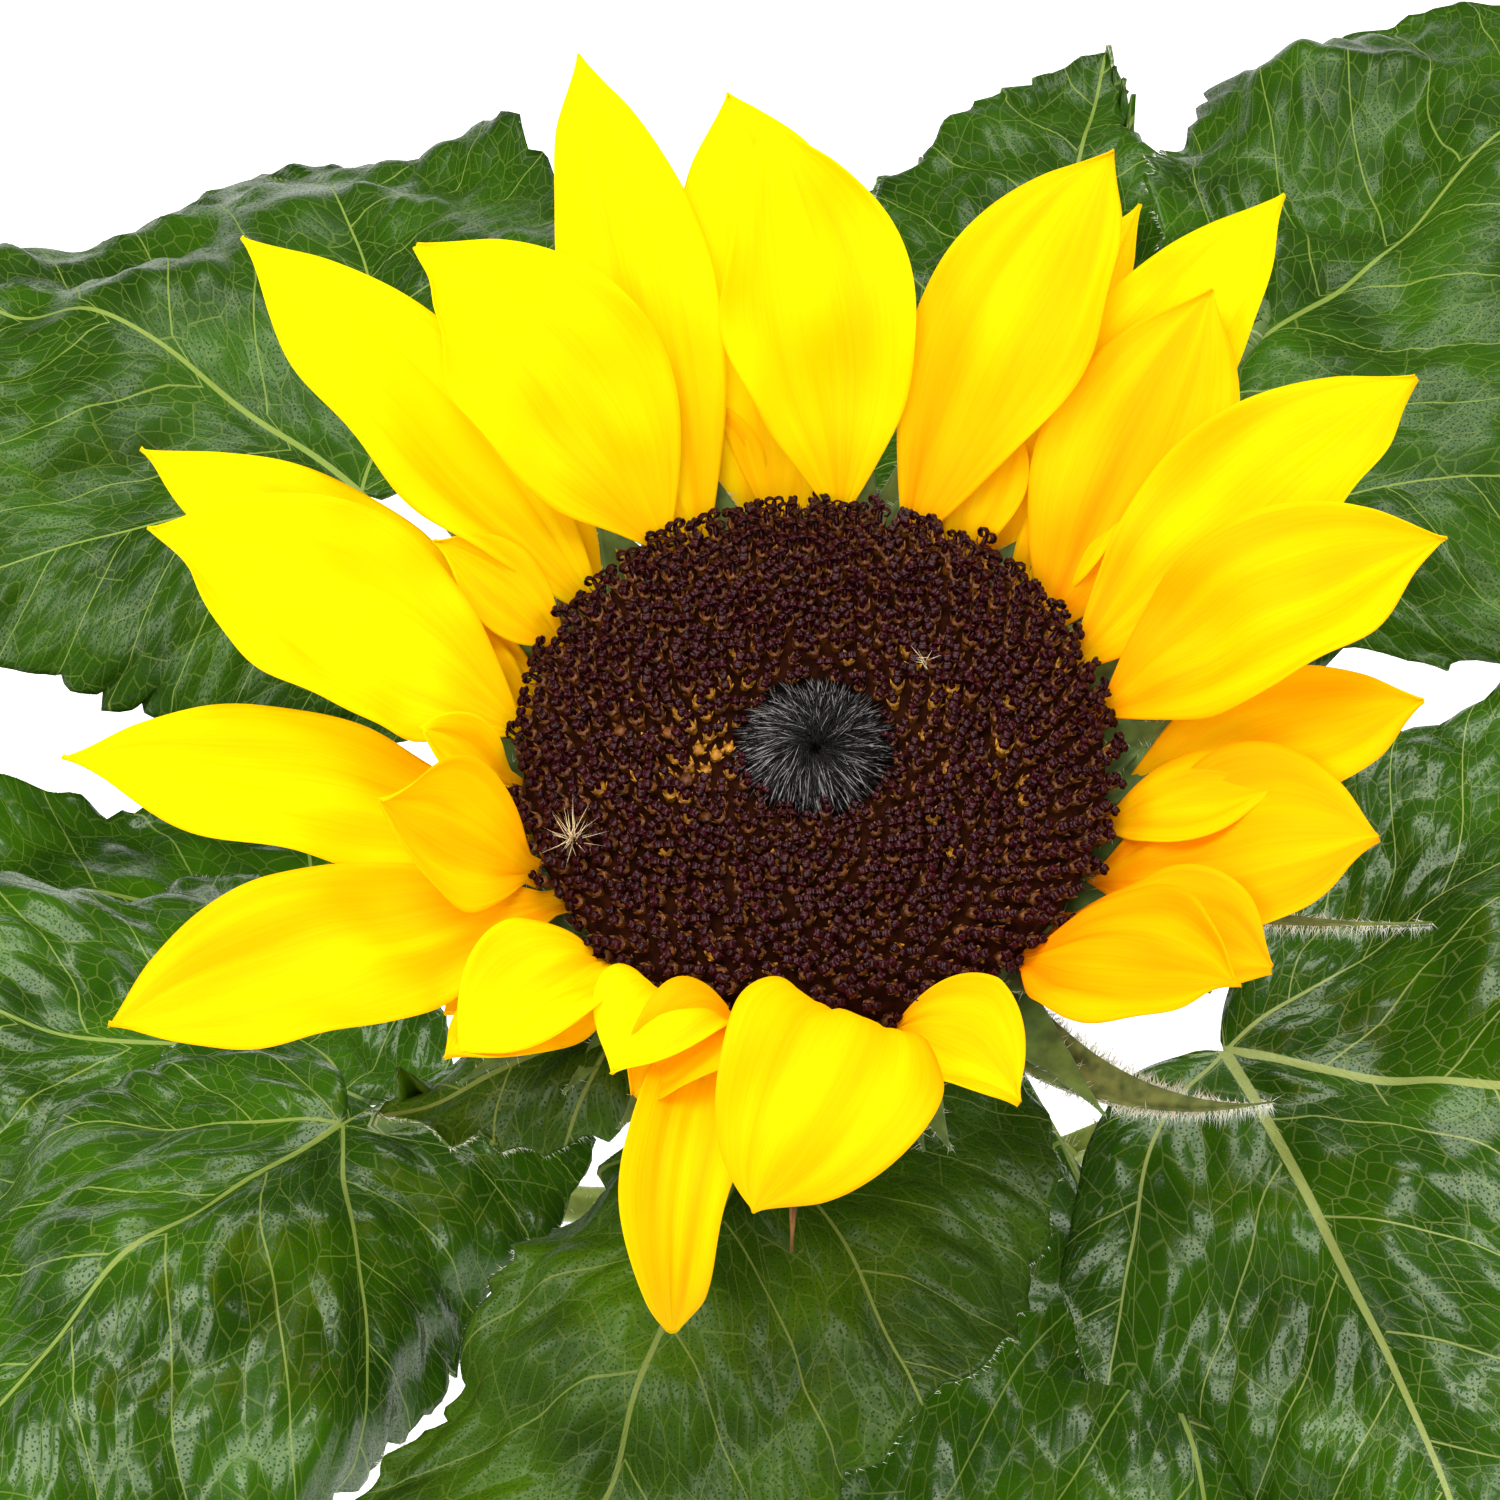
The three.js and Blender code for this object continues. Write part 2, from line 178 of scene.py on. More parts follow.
MATH = "ShaderNodeMath"
VECTOR = "ShaderNodeVectorMath"
COMBINE = "ShaderNodeCombineXYZ"
SPLIT = "ShaderNodeSeparateXYZ"
MAP = "ShaderNodeUVMap"
NOISE = "ShaderNodeTexNoise"
CELLS = "ShaderNodeTexVoronoi"
RANGE = "ShaderNodeMapRange"
MIX = "ShaderNodeMix"
BUMP = "ShaderNodeBump"
SKIN = "ShaderNodeBsdfPrincipled"
THROUGH = "ShaderNodeBsdfTranslucent"
MIX_SHADER = "ShaderNodeMixShader"
OUTPUT = "ShaderNodeOutputMaterial"
PLUS = {"operation": "ADD"}
TIMES = {"operation": "MULTIPLY"}
TIMES_PLUS = {"operation": "MULTIPLY_ADD"}
LARGER = {"operation": "MAXIMUM"}
UNSIGNED = {"operation": "ABSOLUTE"}
EASED = {"interpolation_type": "SMOOTHSTEP"}
NUMBERS = {"data_type": "FLOAT"}
COLOURS = {"data_type": "RGBA"}
CELL_EDGE = {"voronoi_dimensions": "2D", "feature": "DISTANCE_TO_EDGE"}
CELL_MIDDLE = {"voronoi_dimensions": "2D", "feature": "F1"}


def add_node(
    tree: bpy.types.NodeTree,
    kind: str,
    settings: dict[str, Any] | None = None,
    inputs: dict[str | int, Any] | Sequence[Any] = (),
) -> bpy.types.Node:
    """Add a node with its settings and its links.

    Args:
        tree: the node tree.
        kind: the node's type name.
        settings: properties of the node.
        inputs: values, or nodes or sockets to link from, by input name or number, or all in order.

    Returns:
        The new node.
    """
    made = tree.nodes.new(kind)
    for key, value in (settings or {}).items():
        setattr(made, key, value)
    for key, value in inputs.items() if isinstance(inputs, dict) else enumerate(inputs):
        if isinstance(value, bpy.types.Node):
            value = value.outputs[0]
        if isinstance(value, bpy.types.NodeSocket):
            tree.links.new(value, made.inputs[key])
        else:
            made.inputs[key].default_value = value
    return made


def new_material(name: str) -> tuple[bpy.types.Material, Callable[..., bpy.types.Node]]:
    """Start a material with no nodes.

    Args:
        name: the material's name.

    Returns:
        The material, and add_node for its tree.
    """
    made = bpy.data.materials.new(name)
    made.use_nodes = True
    made.node_tree.nodes.clear()
    return made, partial(add_node, made.node_tree)


def cell_edges(x: Array, y: Array, size: float) -> Array:
    """Distance from each point to the nearest edge of a net of uneven cells.

    The cells are those of the Voronoi texture that the leaf's finish draws, so relief and colour meet.

    Args:
        x: first coordinate, in millimetres.
        y: second coordinate, in millimetres.
        size: middle width of a cell, in millimetres.

    Returns:
        Distances in millimetres, in the shape of x.
    """
    flat = np.zeros((x.size, 3))
    flat[:, 0], flat[:, 1] = x.ravel() / size, y.ravel() / size
    mesh = bpy.data.meshes.new("cells")
    mesh.from_pydata(flat, [], [])
    probe = add_object("cells", mesh)
    tree = bpy.data.node_groups.new("cells", "GeometryNodeTree")
    for way in ("INPUT", "OUTPUT"):
        tree.interface.new_socket("Geometry", in_out=way, socket_type="NodeSocketGeometry")
    node = partial(add_node, tree)
    where = {"Vector": node("GeometryNodeInputPosition"), "Scale": 1.0, "Randomness": NET_RANDOM}
    values = {"Geometry": node("NodeGroupInput"), "Name": "edge", "Value": node(CELLS, CELL_EDGE, where)}
    node("NodeGroupOutput", {}, [node("GeometryNodeStoreNamedAttribute", {}, values)])
    probe.modifiers.new("cells", "NODES").node_group = tree
    bpy.context.view_layer.update()
    found = probe.evaluated_get(bpy.context.evaluated_depsgraph_get()).data
    edge = np.zeros(len(flat), np.float32)
    found.attributes["edge"].data.foreach_get("value", edge)
    bpy.data.objects.remove(probe)
    bpy.data.meshes.remove(mesh)
    bpy.data.node_groups.remove(tree)
    return edge.astype(float).reshape(x.shape) * size


# ------------------------------------------------------------------ meshes


def add_object(name: str, data: bpy.types.ID) -> bpy.types.Object:
    """Put a mesh, lamp or camera in the scene.

    Args:
        name: the object's name.
        data: the mesh, lamp or camera.

    Returns:
        The object.
    """
    made = bpy.data.objects.new(name, data)
    bpy.context.scene.collection.objects.link(made)
    return made


def new_mesh(name: str, points: Array, faces: Sequence[Array]) -> bpy.types.Mesh:
    """Make a mesh from points in millimetres.

    Args:
        name: the mesh's name.
        points: corner points, N by 3.
        faces: arrays of faces, each M by 3 or M by 4.

    Returns:
        The mesh, smooth shaded.
    """
    mesh = bpy.data.meshes.new(name)
    mesh.vertices.add(len(points))
    mesh.vertices.foreach_set("co", (np.asarray(points, float) * MM).ravel())
    corners = np.concatenate([np.asarray(f).ravel() for f in faces]).astype(np.int32)
    sizes = np.concatenate([np.full(len(f), f.shape[1]) for f in faces])
    starts = np.concatenate([[0], np.cumsum(sizes)[:-1]]).astype(np.int32)
    mesh.loops.add(len(corners))
    mesh.loops.foreach_set("vertex_index", corners)
    mesh.polygons.add(len(sizes))
    mesh.polygons.foreach_set("loop_start", starts)
    mesh.polygons.foreach_set("use_smooth", np.ones(len(sizes), bool))
    mesh.update(calc_edges=True)
    return mesh


def add_piece(
    name: str,
    mesh: bpy.types.Mesh,
    materials: Sequence[bpy.types.Material],
    stands_for: Iterable[str] = (),
) -> None:
    """Put a mesh in the scene as a piece of the plant.

    Args:
        name: the piece's name.
        mesh: its mesh, in the row frame.
        materials: its materials, in the order of the faces' numbers.
        stands_for: CAD nodes that the piece takes the place of.
    """
    piece = add_object(name, mesh)
    for material in materials:
        mesh.materials.append(material)
    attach(piece, BODY)
    stood = list(stands_for)
    if stood:
        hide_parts(*stood)
    LOG.info("%s: %d faces", name, len(mesh.polygons))


def blade_faces(rows: int, columns: int) -> tuple[Array, Array, Array]:
    """Faces of a thin closed body on a grid of points, top layer first and under layer second.

    Args:
        rows: points from foot to tip.
        columns: points from edge to edge.

    Returns:
        The top faces, the under faces and the faces round the edge.
    """
    index = np.arange(rows * columns).reshape(rows, columns)
    a, b = index[:-1, :-1].ravel(), index[1:, :-1].ravel()
    c, d = index[1:, 1:].ravel(), index[:-1, 1:].ravel()
    count = rows * columns
    top = np.stack([a, b, c, d], 1)
    under = np.stack([a, d, c, b], 1) + count
    rim = np.concatenate([index[:-1, 0], index[-1, :-1], index[:0:-1, -1], index[0, :0:-1]])
    after = np.roll(rim, -1)
    wall = np.stack([after, rim, rim + count, after + count], 1)
    return top, under, wall


def normals_of(grid: Array) -> Array:
    """Unit normals of a grid of points.

    Args:
        grid: rows that run foot to tip, with columns from right to left.

    Returns:
        The normals, which point up, in the shape of the grid.
    """
    along = np.gradient(grid, axis=0)
    across = np.gradient(grid, axis=1)
    return unit(np.cross(along, across))


@dataclass
class Blade:
    """A thin closed body on a grid of middle points, with pattern coordinates for its finish."""

    grid: Array
    over: Array | float
    under: Array | float
    maps: dict[str, tuple[Array, Array]] = field(default_factory=dict)

    def points(self) -> Array:
        """Corner points of the body.

        Returns:
            Points of the top layer, then of the under layer.
        """
        normal = normals_of(self.grid)
        top = self.grid + normal * np.asarray(self.over)[..., None]
        low = self.grid - normal * np.asarray(self.under)[..., None]
        return np.concatenate([top.reshape(-1, 3), low.reshape(-1, 3)])

    def mesh(self, name: str) -> bpy.types.Mesh:
        """Build the mesh.

        Args:
            name: the mesh's name.

        Returns:
            A mesh whose under side and edge have material number 1.
        """
        rows, columns = self.grid.shape[:2]
        faces = blade_faces(rows, columns)
        mesh = new_mesh(name, self.points(), faces)
        number = np.ones(len(mesh.polygons), np.int32)
        number[: len(faces[0])] = 0
        mesh.polygons.foreach_set("material_index", number)
        spot = np.concatenate(faces) % (rows * columns)
        left = np.repeat((spot % columns).mean(1) > (columns - 1) / 2, 4)
        corner = spot.ravel()
        for key, (plus, minus) in self.maps.items():
            layer = mesh.uv_layers.new(name=key)
            pick = np.where(left[:, None], plus.reshape(-1, 2)[corner], minus.reshape(-1, 2)[corner])
            layer.data.foreach_set("uv", pick.astype(np.float32).ravel())
        return mesh


def ring_quads(rings: int, sides: int) -> tuple[Array, Array, Array]:
    """Side faces of a row of rings of points.

    Args:
        rings: how many rings.
        sides: points in each ring.

    Returns:
        The faces, then the points' numbers in order and moved on by one.
    """
    index = np.arange(rings * sides).reshape(rings, sides)
    nxt = np.roll(index, -1, axis=1)
    return np.stack([index[:-1], nxt[:-1], nxt[1:], index[1:]], -1).reshape(-1, 4), index, nxt


def tube(path: Array, radii: Array, sides: int, ribs: Array | None = None) -> Body:
    """Round body along a path, closed at both ends.

    Args:
        path: middle points, N by 3.
        radii: radius at each of them.
        sides: points round it.
        ribs: share of the radius at each side, or None.

    Returns:
        Points and faces.
    """
    way = unit(np.gradient(path, axis=0))
    hint = np.array([0.0, 0.0, 1.0]) if abs(way[0][2]) < 0.9 else np.array([0.0, 1.0, 0.0])
    u = unit(np.cross(hint, way[0]))
    frames = []
    for w in way:
        u = unit(u - w * (u @ w))
        frames.append((u, np.cross(w, u)))
    turn = round_turn(sides)
    share = np.ones(sides) if ribs is None else ribs
    rings = [
        p + r * (share * np.cos(turn))[:, None] * a + r * (share * np.sin(turn))[:, None] * b
        for p, r, (a, b) in zip(path, radii, frames)
    ]
    quads, index, nxt = ring_quads(len(path), sides)
    start = np.full(sides, len(path) * sides)
    caps = [np.stack([start, nxt[0], index[0]], 1), np.stack([start + 1, index[-1], nxt[-1]], 1)]
    return np.concatenate([*rings, path[:1], path[-1:]]), [quads, np.concatenate(caps)]


def lathe(radii: Array, heights: Array, ribs: Array | None = None, rising: bool = True) -> Body:
    """Closed body turned about the z axis.

    Args:
        radii: radius of each ring of points.
        heights: height of each ring.
        ribs: share of the radius at each side, or None.
        rising: whether the outline starts with the lowest ring.

    Returns:
        Points and faces.
    """
    sides = len(LATHE_TURN)
    share = np.ones(sides) if ribs is None else ribs
    ring = np.stack([np.cos(LATHE_TURN) * share, np.sin(LATHE_TURN) * share], 1)
    points = [np.column_stack([r * ring, np.full(sides, h)]) for r, h in zip(radii, heights)]
    quads, index, _ = ring_quads(len(radii), sides)
    caps = [index[:1, ::-1], index[-1:]]
    if not rising:
        quads, caps = quads[:, [0, 3, 2, 1]], [c[:, ::-1] for c in caps]
    return np.concatenate(points), [quads, *caps]


def scatter(shape: Array, faces: Sequence[Array], origins: Array, axes: Array) -> Body:
    """Copy a small shape to many places and join the copies.

    Args:
        shape: the shape's points, V by 3.
        faces: its faces.
        origins: where the copies go, N by 3.
        axes: each copy's x, y and z axes, scaled, N by 3 by 3.

    Returns:
        Points and faces of all copies.
    """
    points = origins[:, None, :] + np.einsum("vk,nkd->nvd", shape, axes)
    shift = (np.arange(len(origins)) * len(shape))[:, None, None]
    joined = [(np.asarray(f)[None] + shift).reshape(-1, np.asarray(f).shape[1]) for f in faces]
    return points.reshape(-1, 3), joined


def join(parts: Iterable[Body]) -> Body:
    """Join bodies of points and faces into one.

    Args:
        parts: the bodies.

    Returns:
        Points and faces of all of them.
    """
    points: list[Array] = []
    faces: dict[int, list[Array]] = {}
    count = 0
    for part, part_faces in parts:
        points.append(part)
        for f in part_faces:
            faces.setdefault(f.shape[1], []).append(f + count)
        count += len(part)
    return np.concatenate(points), [np.concatenate(f) for f in faces.values()]


HAIR_SHAPE = np.array([[0.5, 0, 0], [-0.25, 0.433, 0], [-0.25, -0.433, 0], [0, 0, 1.0]])
HAIR_FACES = [np.array([[0, 2, 1], [0, 1, 3], [1, 2, 3], [2, 0, 3]])]


def hairs(origins: Array, ways: Array, lengths: Array, thick: float) -> Body:
    """Straight tapered hairs.

    Args:
        origins: where each starts.
        ways: unit directions.
        lengths: length of each.
        thick: width at the root.

    Returns:
        Points and faces.
    """
    hint = np.where(np.abs(ways[:, 2:]) < 0.9, [[0.0, 0.0, 1.0]], [[0.0, 1.0, 0.0]])
    a = unit(np.cross(hint, ways))
    b = np.cross(ways, a)
    axes = np.stack([a * thick, b * thick, ways * lengths[:, None]], 1)
    return scatter(HAIR_SHAPE, HAIR_FACES, origins, axes)


# ------------------------------------------------------------------ sizes shared with the frame


@dataclass(frozen=True)
class Spine:
    """Middle line of a blade, which lifts, curls and sways as it runs."""

    start: tuple[float, float, float]
    length: float
    heading: float
    lift: float
    curl: float
    ease: float
    sway: float = 0.0
    roll: float = 0.0
    twist: float = 0.0

    def frames(self, t: Array) -> tuple[Array, Array, Array, Array]:
        """Points and axes at shares of the length.

        Args:
            t: shares from 0 to 1.

        Returns:
            Points, ways along, ways to the left and ways up, each N by 3.
        """
        fine = np.linspace(0, 1, 600)
        h = rad(self.heading) + rad(self.sway) * fine
        e = rad(self.lift) + rad(self.curl) * fine**self.ease
        way = np.stack([np.cos(e) * np.cos(h), np.cos(e) * np.sin(h), np.sin(e)], 1)
        step = (way[1:] + way[:-1]) / 2 * self.length / (len(fine) - 1)
        line = np.concatenate([[self.start], self.start + np.cumsum(step, 0)])
        pick = [np.interp(t, fine, line[:, k]) for k in range(3)]
        tangent = unit(np.stack([np.interp(t, fine, way[:, k]) for k in range(3)], 1))
        turn = rad(self.heading) + rad(self.sway) * t
        side = np.stack([-np.sin(turn), np.cos(turn), np.zeros_like(t)], 1)
        up = np.cross(tangent, side)
        tilt = np.radians(self.roll + self.twist * t)[:, None]
        c, s = np.cos(tilt), np.sin(tilt)
        return np.stack(pick, 1), tangent, side * c + up * s, up * c - side * s

    def cupped(self, t: Array, c: Array, half: Array, cup: float) -> Array:
        """Grid of points of a blade whose edges stand up.

        Args:
            t: shares of the length.
            c: places across, from -1 to 1.
            half: half width at each share, as a column.
            cup: how far the edges stand up, in degrees.

        Returns:
            The points, rows by columns by 3.
        """
        point, _, side, up = self.frames(t)
        turn = rad(cup)
        out, rise = half * np.sin(turn * c) / turn, half * (1 - np.cos(turn * c)) / turn
        return point[:, None] + side[:, None] * out[..., None] + up[:, None] * rise[..., None]


@dataclass(frozen=True)
class BloomAxes:
    """Place and tilt of the bloom: the middle of its rim and its three axes."""

    x: float = 0.0
    y: float = -4.0
    z: float = 386.0
    tilt: float = 10.0
    rim: float = 33.0
    row_step: float = 2.2
    row_top: float = 1.0

    def place(self, p: Array) -> Array:
        """Points in the bloom's axes, moved to the plant's."""
        return np.array([self.x, self.y, self.z]) + self.turn(p)

    def turn(self, p: Array) -> Array:
        """Directions in the bloom's axes, turned to the plant's."""
        c, s = math.cos(rad(self.tilt)), math.sin(rad(self.tilt))
        return np.asarray(p, float) @ np.array([[1, 0, 0], [0, c, s], [0, -s, c]])

    def body(self, points: Array, faces: Sequence[Array]) -> Body:
        """A body in the bloom's axes, moved to the plant's."""
        return self.place(points), faces


@dataclass(frozen=True)
class StemLine:
    """Middle line and radius of the stem."""

    height: float = 364.0
    base_radius: float = 7.4
    top_radius: float = 5.4
    flare: float = 4.2
    flare_height: float = 11.0
    bow_back: float = 64.0
    lean_side: float = -18.0

    def centre(self, z: Array | float) -> Array:
        """Middle of the stem.

        Args:
            z: heights, in millimetres.

        Returns:
            A point at each height.
        """
        z = np.asarray(z, float)
        s = z / self.height
        return np.stack([self.lean_side * s * (1 - s) ** 2, self.bow_back * s**2 * (1 - s), z], -1)

    def radius(self, z: Array | float) -> Array:
        """Radius of the stem, with the flare at the ground.

        Args:
            z: heights, in millimetres.

        Returns:
            A radius at each height.
        """
        z = np.asarray(z, float)
        taper = self.base_radius + (self.top_radius - self.base_radius) * (z / self.height)
        return taper + self.flare * np.exp(-z / self.flare_height)


BLOOM = BloomAxes()
STEM = StemLine()


# ------------------------------------------------------------------ finishes


@dataclass(frozen=True)
class PetalFinish:
    """Ray petal of a sunflower: a thin, velvety, light-passing skin with fine lengthwise ribs.

    The eye sees a saturated lemon yellow with painted shade in orange at the foot, in broad streaks and over
    whole petals, a little orange along the fine veins, and no hard shine.
    """

    name: str
    lemon: str
    orange: str
    roughness: float = 0.62
    passes: float = 0.46

    def material(self) -> bpy.types.Material:
        """Build the material.

        Returns:
            The material, which reads the map "ray" (share of length, place across) and a map that holds each
            petal's share of painted shade and a shift of its noise.
        """
        made, node = new_material(self.name)
        place = node(MAP, {"uv_map": "ray"})
        along, across, _ = node(SPLIT, {}, [place]).outputs
        tone, shift, _ = node(SPLIT, {}, [node(MAP, {"uv_map": "tone"})]).outputs
        # fine veins run foot to tip: noise drawn out 12 times along the petal, 0.4 mm apart
        pull = node(VECTOR, TIMES, [place, (2.2, 26.0, 1.0)])
        where = node(VECTOR, PLUS, [pull, node(COMBINE, {}, {2: shift})])
        veins = node(NOISE, {}, {"Vector": where, "Scale": 1.0, "Detail": 3.0, "Roughness": 0.6})
        wide = node(VECTOR, TIMES, [where, (0.6, 0.09, 1.0)])
        broad = node(NOISE, {}, {"Vector": wide, "Scale": 1.0, "Detail": 2.0})
        # painted shade in orange at the foot near the disc and in broad streaks that stand for the shadows of
        # petals behind; the fine veins are a little orange too
        foot = node(RANGE, EASED, [along, 0.0, 0.46, 0.4, 0.0])
        deep = node(RANGE, {}, [veins, 0.35, 0.75, -0.07, 0.08])
        drift = node(RANGE, {}, [broad, 0.3, 0.75, -0.2, 0.24])
        streaks = node(MATH, PLUS, [node(MATH, PLUS, [foot, deep]), drift])
        # each petal adds its own share of painted shade
        share = node(MATH, PLUS | {"use_clamp": True}, [streaks, tone])
        colour = node(MIX, COLOURS, {0: share, 6: linear(self.lemon), 7: linear(self.orange)}).outputs[2]
        ribs = node(MATH, {"operation": "SINE"}, [node(MATH, TIMES, [across, 34.0])])
        grain = node(MATH, TIMES_PLUS, [ribs, 0.12, veins])
        bump = node(BUMP, {}, {"Height": grain, "Strength": 0.2, "Distance": 0.2 * MM})
        velvet = {
            "Base Color": colour, "Roughness": self.roughness, "Specular IOR Level": 0.04, "Normal": bump,
        }
        through = node(THROUGH, {}, {"Color": colour, "Normal": bump})
        node(OUTPUT, {}, [node(MIX_SHADER, {}, [self.passes, node(SKIN, {}, velvet), through])])
        return made


@dataclass(frozen=True)
class LeafFinish:
    """Sunflower leaf: waxy cuticle over quilted flesh, with pale veins and a net of finer ones.

    The eye sees a dark, wet-looking green with broad soft highlights, broken by dark pores and pale lines.
    """

    name: str
    deep: str
    fresh: str
    vein: str
    roughness: float
    gloss: float = 0.5
    main_width: float = 0.72
    net: float = 0.45
    bump: float = 0.5
    passes: float = 0.24

    def material(self) -> bpy.types.Material:
        """Build the material.

        Returns:
            The material, which reads the maps "flat", "vein" and "net", in millimetres or vein numbers.
        """
        made, node = new_material(self.name)
        flat = node(MAP, {"uv_map": "flat"})
        along, off, _ = node(SPLIT, {}, [flat]).outputs
        first, second, _ = node(SPLIT, {}, [node(MAP, {"uv_map": "vein"})]).outputs
        start, beside, _ = node(SPLIT, {}, [node(MAP, {"uv_map": "net"})]).outputs
        # the lowest side vein parts the blade: beyond it run its own branches
        inner = node(MATH, {"operation": "GREATER_THAN"}, [start, 0.0])
        number = node(MIX, NUMBERS, {0: inner, 2: second, 3: first})
        below = node(MATH, TIMES, [start, -BASAL_SLANT])
        out = node(MIX, NUMBERS, {0: inner, 2: below, 3: beside})
        # midrib, lowest side vein and the others: distance, then how the width shrinks along the vein
        near = node(MATH, {"operation": "PINGPONG"}, [number, 0.5])
        mid_mm = node(MATH, UNSIGNED, [off])
        low_mm = node(MATH, TIMES, [node(MATH, UNSIGNED, [start]), BASAL_SLANT])
        side_mm = node(MATH, TIMES, [near, LATERAL_STEP * LATERAL_SLANT])
        lines = []
        for distance, way, reach, foot, tip, soft in (
            (mid_mm, along, 95.0, self.main_width / 2, 0.12, 0.13),
            (low_mm, beside, 45.0, 0.2, 0.06, 0.11),
            (side_mm, out, 38.0, 0.09, 0.04, 0.08),
        ):
            wide = node(RANGE, {}, [way, 0.0, reach, foot, tip])
            fade = node(MATH, PLUS, [wide, soft])
            lines.append(node(RANGE, EASED, [distance, wide, fade, 1.0, 0.0]))
        # small veins are the edges of uneven cells with a finest net inside; pores are dots 0.6 mm apart
        where = node(COMBINE, {}, [node(MATH, TIMES, [number, LATERAL_STEP]), out])
        small = node(CELLS, CELL_EDGE, {"Vector": where, "Scale": 1 / NET_CELL, "Randomness": NET_RANDOM})
        finest = node(CELLS, CELL_EDGE, {"Vector": where, "Scale": 1 / NET_FINE, "Randomness": 0.95})
        pores = node(CELLS, CELL_MIDDLE, {"Vector": flat, "Scale": 1.7})
        # flesh swells between the veins, and the wax has a slight orange-peel
        small_line, finest_line, dot, swell, dimple = (
            node(RANGE, EASED, row)
            for row in (
                (small, 0.02 / NET_CELL, 0.11 / NET_CELL, 1.0, 0.0),
                (finest, 0.012, 0.06, 1.0, 0.0),
                (pores, 0.1, 0.26, 1.0, 0.0),
                (small, 0.0, 0.16, 0.0, 0.07),
                (finest, 0.0, 0.3, 0.0, 0.1),
            )
        )
        mask, low, side = lines
        weak = [(side, 0.85), (small_line, self.net), (finest_line, self.net * 0.6)]
        for line in (low, *(node(MATH, TIMES, pair) for pair in weak)):
            mask = node(MATH, LARGER, [mask, line])
        patch = node(NOISE, {}, {"Vector": flat, "Scale": 0.055, "Detail": 4.0})
        share = node(RANGE, {}, [patch, 0.3, 0.7, 0.0, 1.0])
        green = node(MIX, COLOURS, {0: share, 6: linear(self.deep), 7: linear(self.fresh)}).outputs[2]
        darker = COLOURS | {"blend_type": "MULTIPLY"}
        dotted = node(MIX, darker, {0: dot, 6: green, 7: (0.5, 0.5, 0.5, 1.0)}).outputs[2]
        colour = node(MIX, COLOURS, {0: mask, 6: dotted, 7: linear(self.vein)}).outputs[2]
        peel = node(NOISE, {}, {"Vector": flat, "Scale": 1.1, "Detail": 2.0})
        height = swell
        for more in (dimple, node(MATH, TIMES, [dot, -0.07]), node(MATH, TIMES, [peel, 0.05])):
            height = node(MATH, PLUS, [height, more])
        bump = node(BUMP, {}, {"Height": height, "Strength": self.bump, "Distance": MM})
        # veins and pores are duller than the wax between them
        plain = node(RANGE, {}, [mask, 0.0, 1.0, self.roughness, self.roughness + 0.2])
        wax = {
            "Base Color": colour, "Roughness": node(MATH, TIMES_PLUS, [dot, 0.4, plain]),
            "Specular IOR Level": self.gloss, "Specular Tint": WAX_TINT, "Normal": bump,
        }
        through = node(THROUGH, {}, {"Color": colour, "Normal": bump})
        node(OUTPUT, {}, [node(MIX_SHADER, {}, [self.passes, node(SKIN, {}, wax), through])])
        return made


@dataclass(frozen=True)
class GrainFinish:
    """Plain plant skin or fibre with a fine uneven grain.

    The eye sees one colour that drifts to a second in soft patches, over a slightly rough skin.
    """

    name: str
    colour: str
    other: str
    grain: float = 3.0
    roughness: float = 0.6
    gloss: float = 0.4
    bump: float = 0.1
    sheen: float = 0.0
    drawn: float = 1.0

    def material(self) -> bpy.types.Material:
        """Build the material.

        Returns:
            The material, with its grain in the plant's own axes.
        """
        made, node = new_material(self.name)
        where = node("ShaderNodeTexCoord").outputs["Object"]
        pull = node(VECTOR, TIMES, [where, (1.0, 1.0, self.drawn)])
        noise = node(NOISE, {}, {"Vector": pull, "Scale": 1 / (self.grain * MM), "Detail": 4.0})
        share = node(RANGE, {}, [noise, 0.35, 0.65, 0.0, 1.0])
        colour = node(MIX, COLOURS, {0: share, 6: linear(self.colour), 7: linear(self.other)}).outputs[2]
        bump = node(BUMP, {}, {"Height": noise, "Strength": 0.6, "Distance": self.bump * MM})
        skin = {
            "Base Color": colour, "Roughness": self.roughness, "Specular IOR Level": self.gloss,
            "Sheen Weight": self.sheen, "Normal": bump,
        }
        node(OUTPUT, {}, [node(SKIN, {}, skin)])
        return made


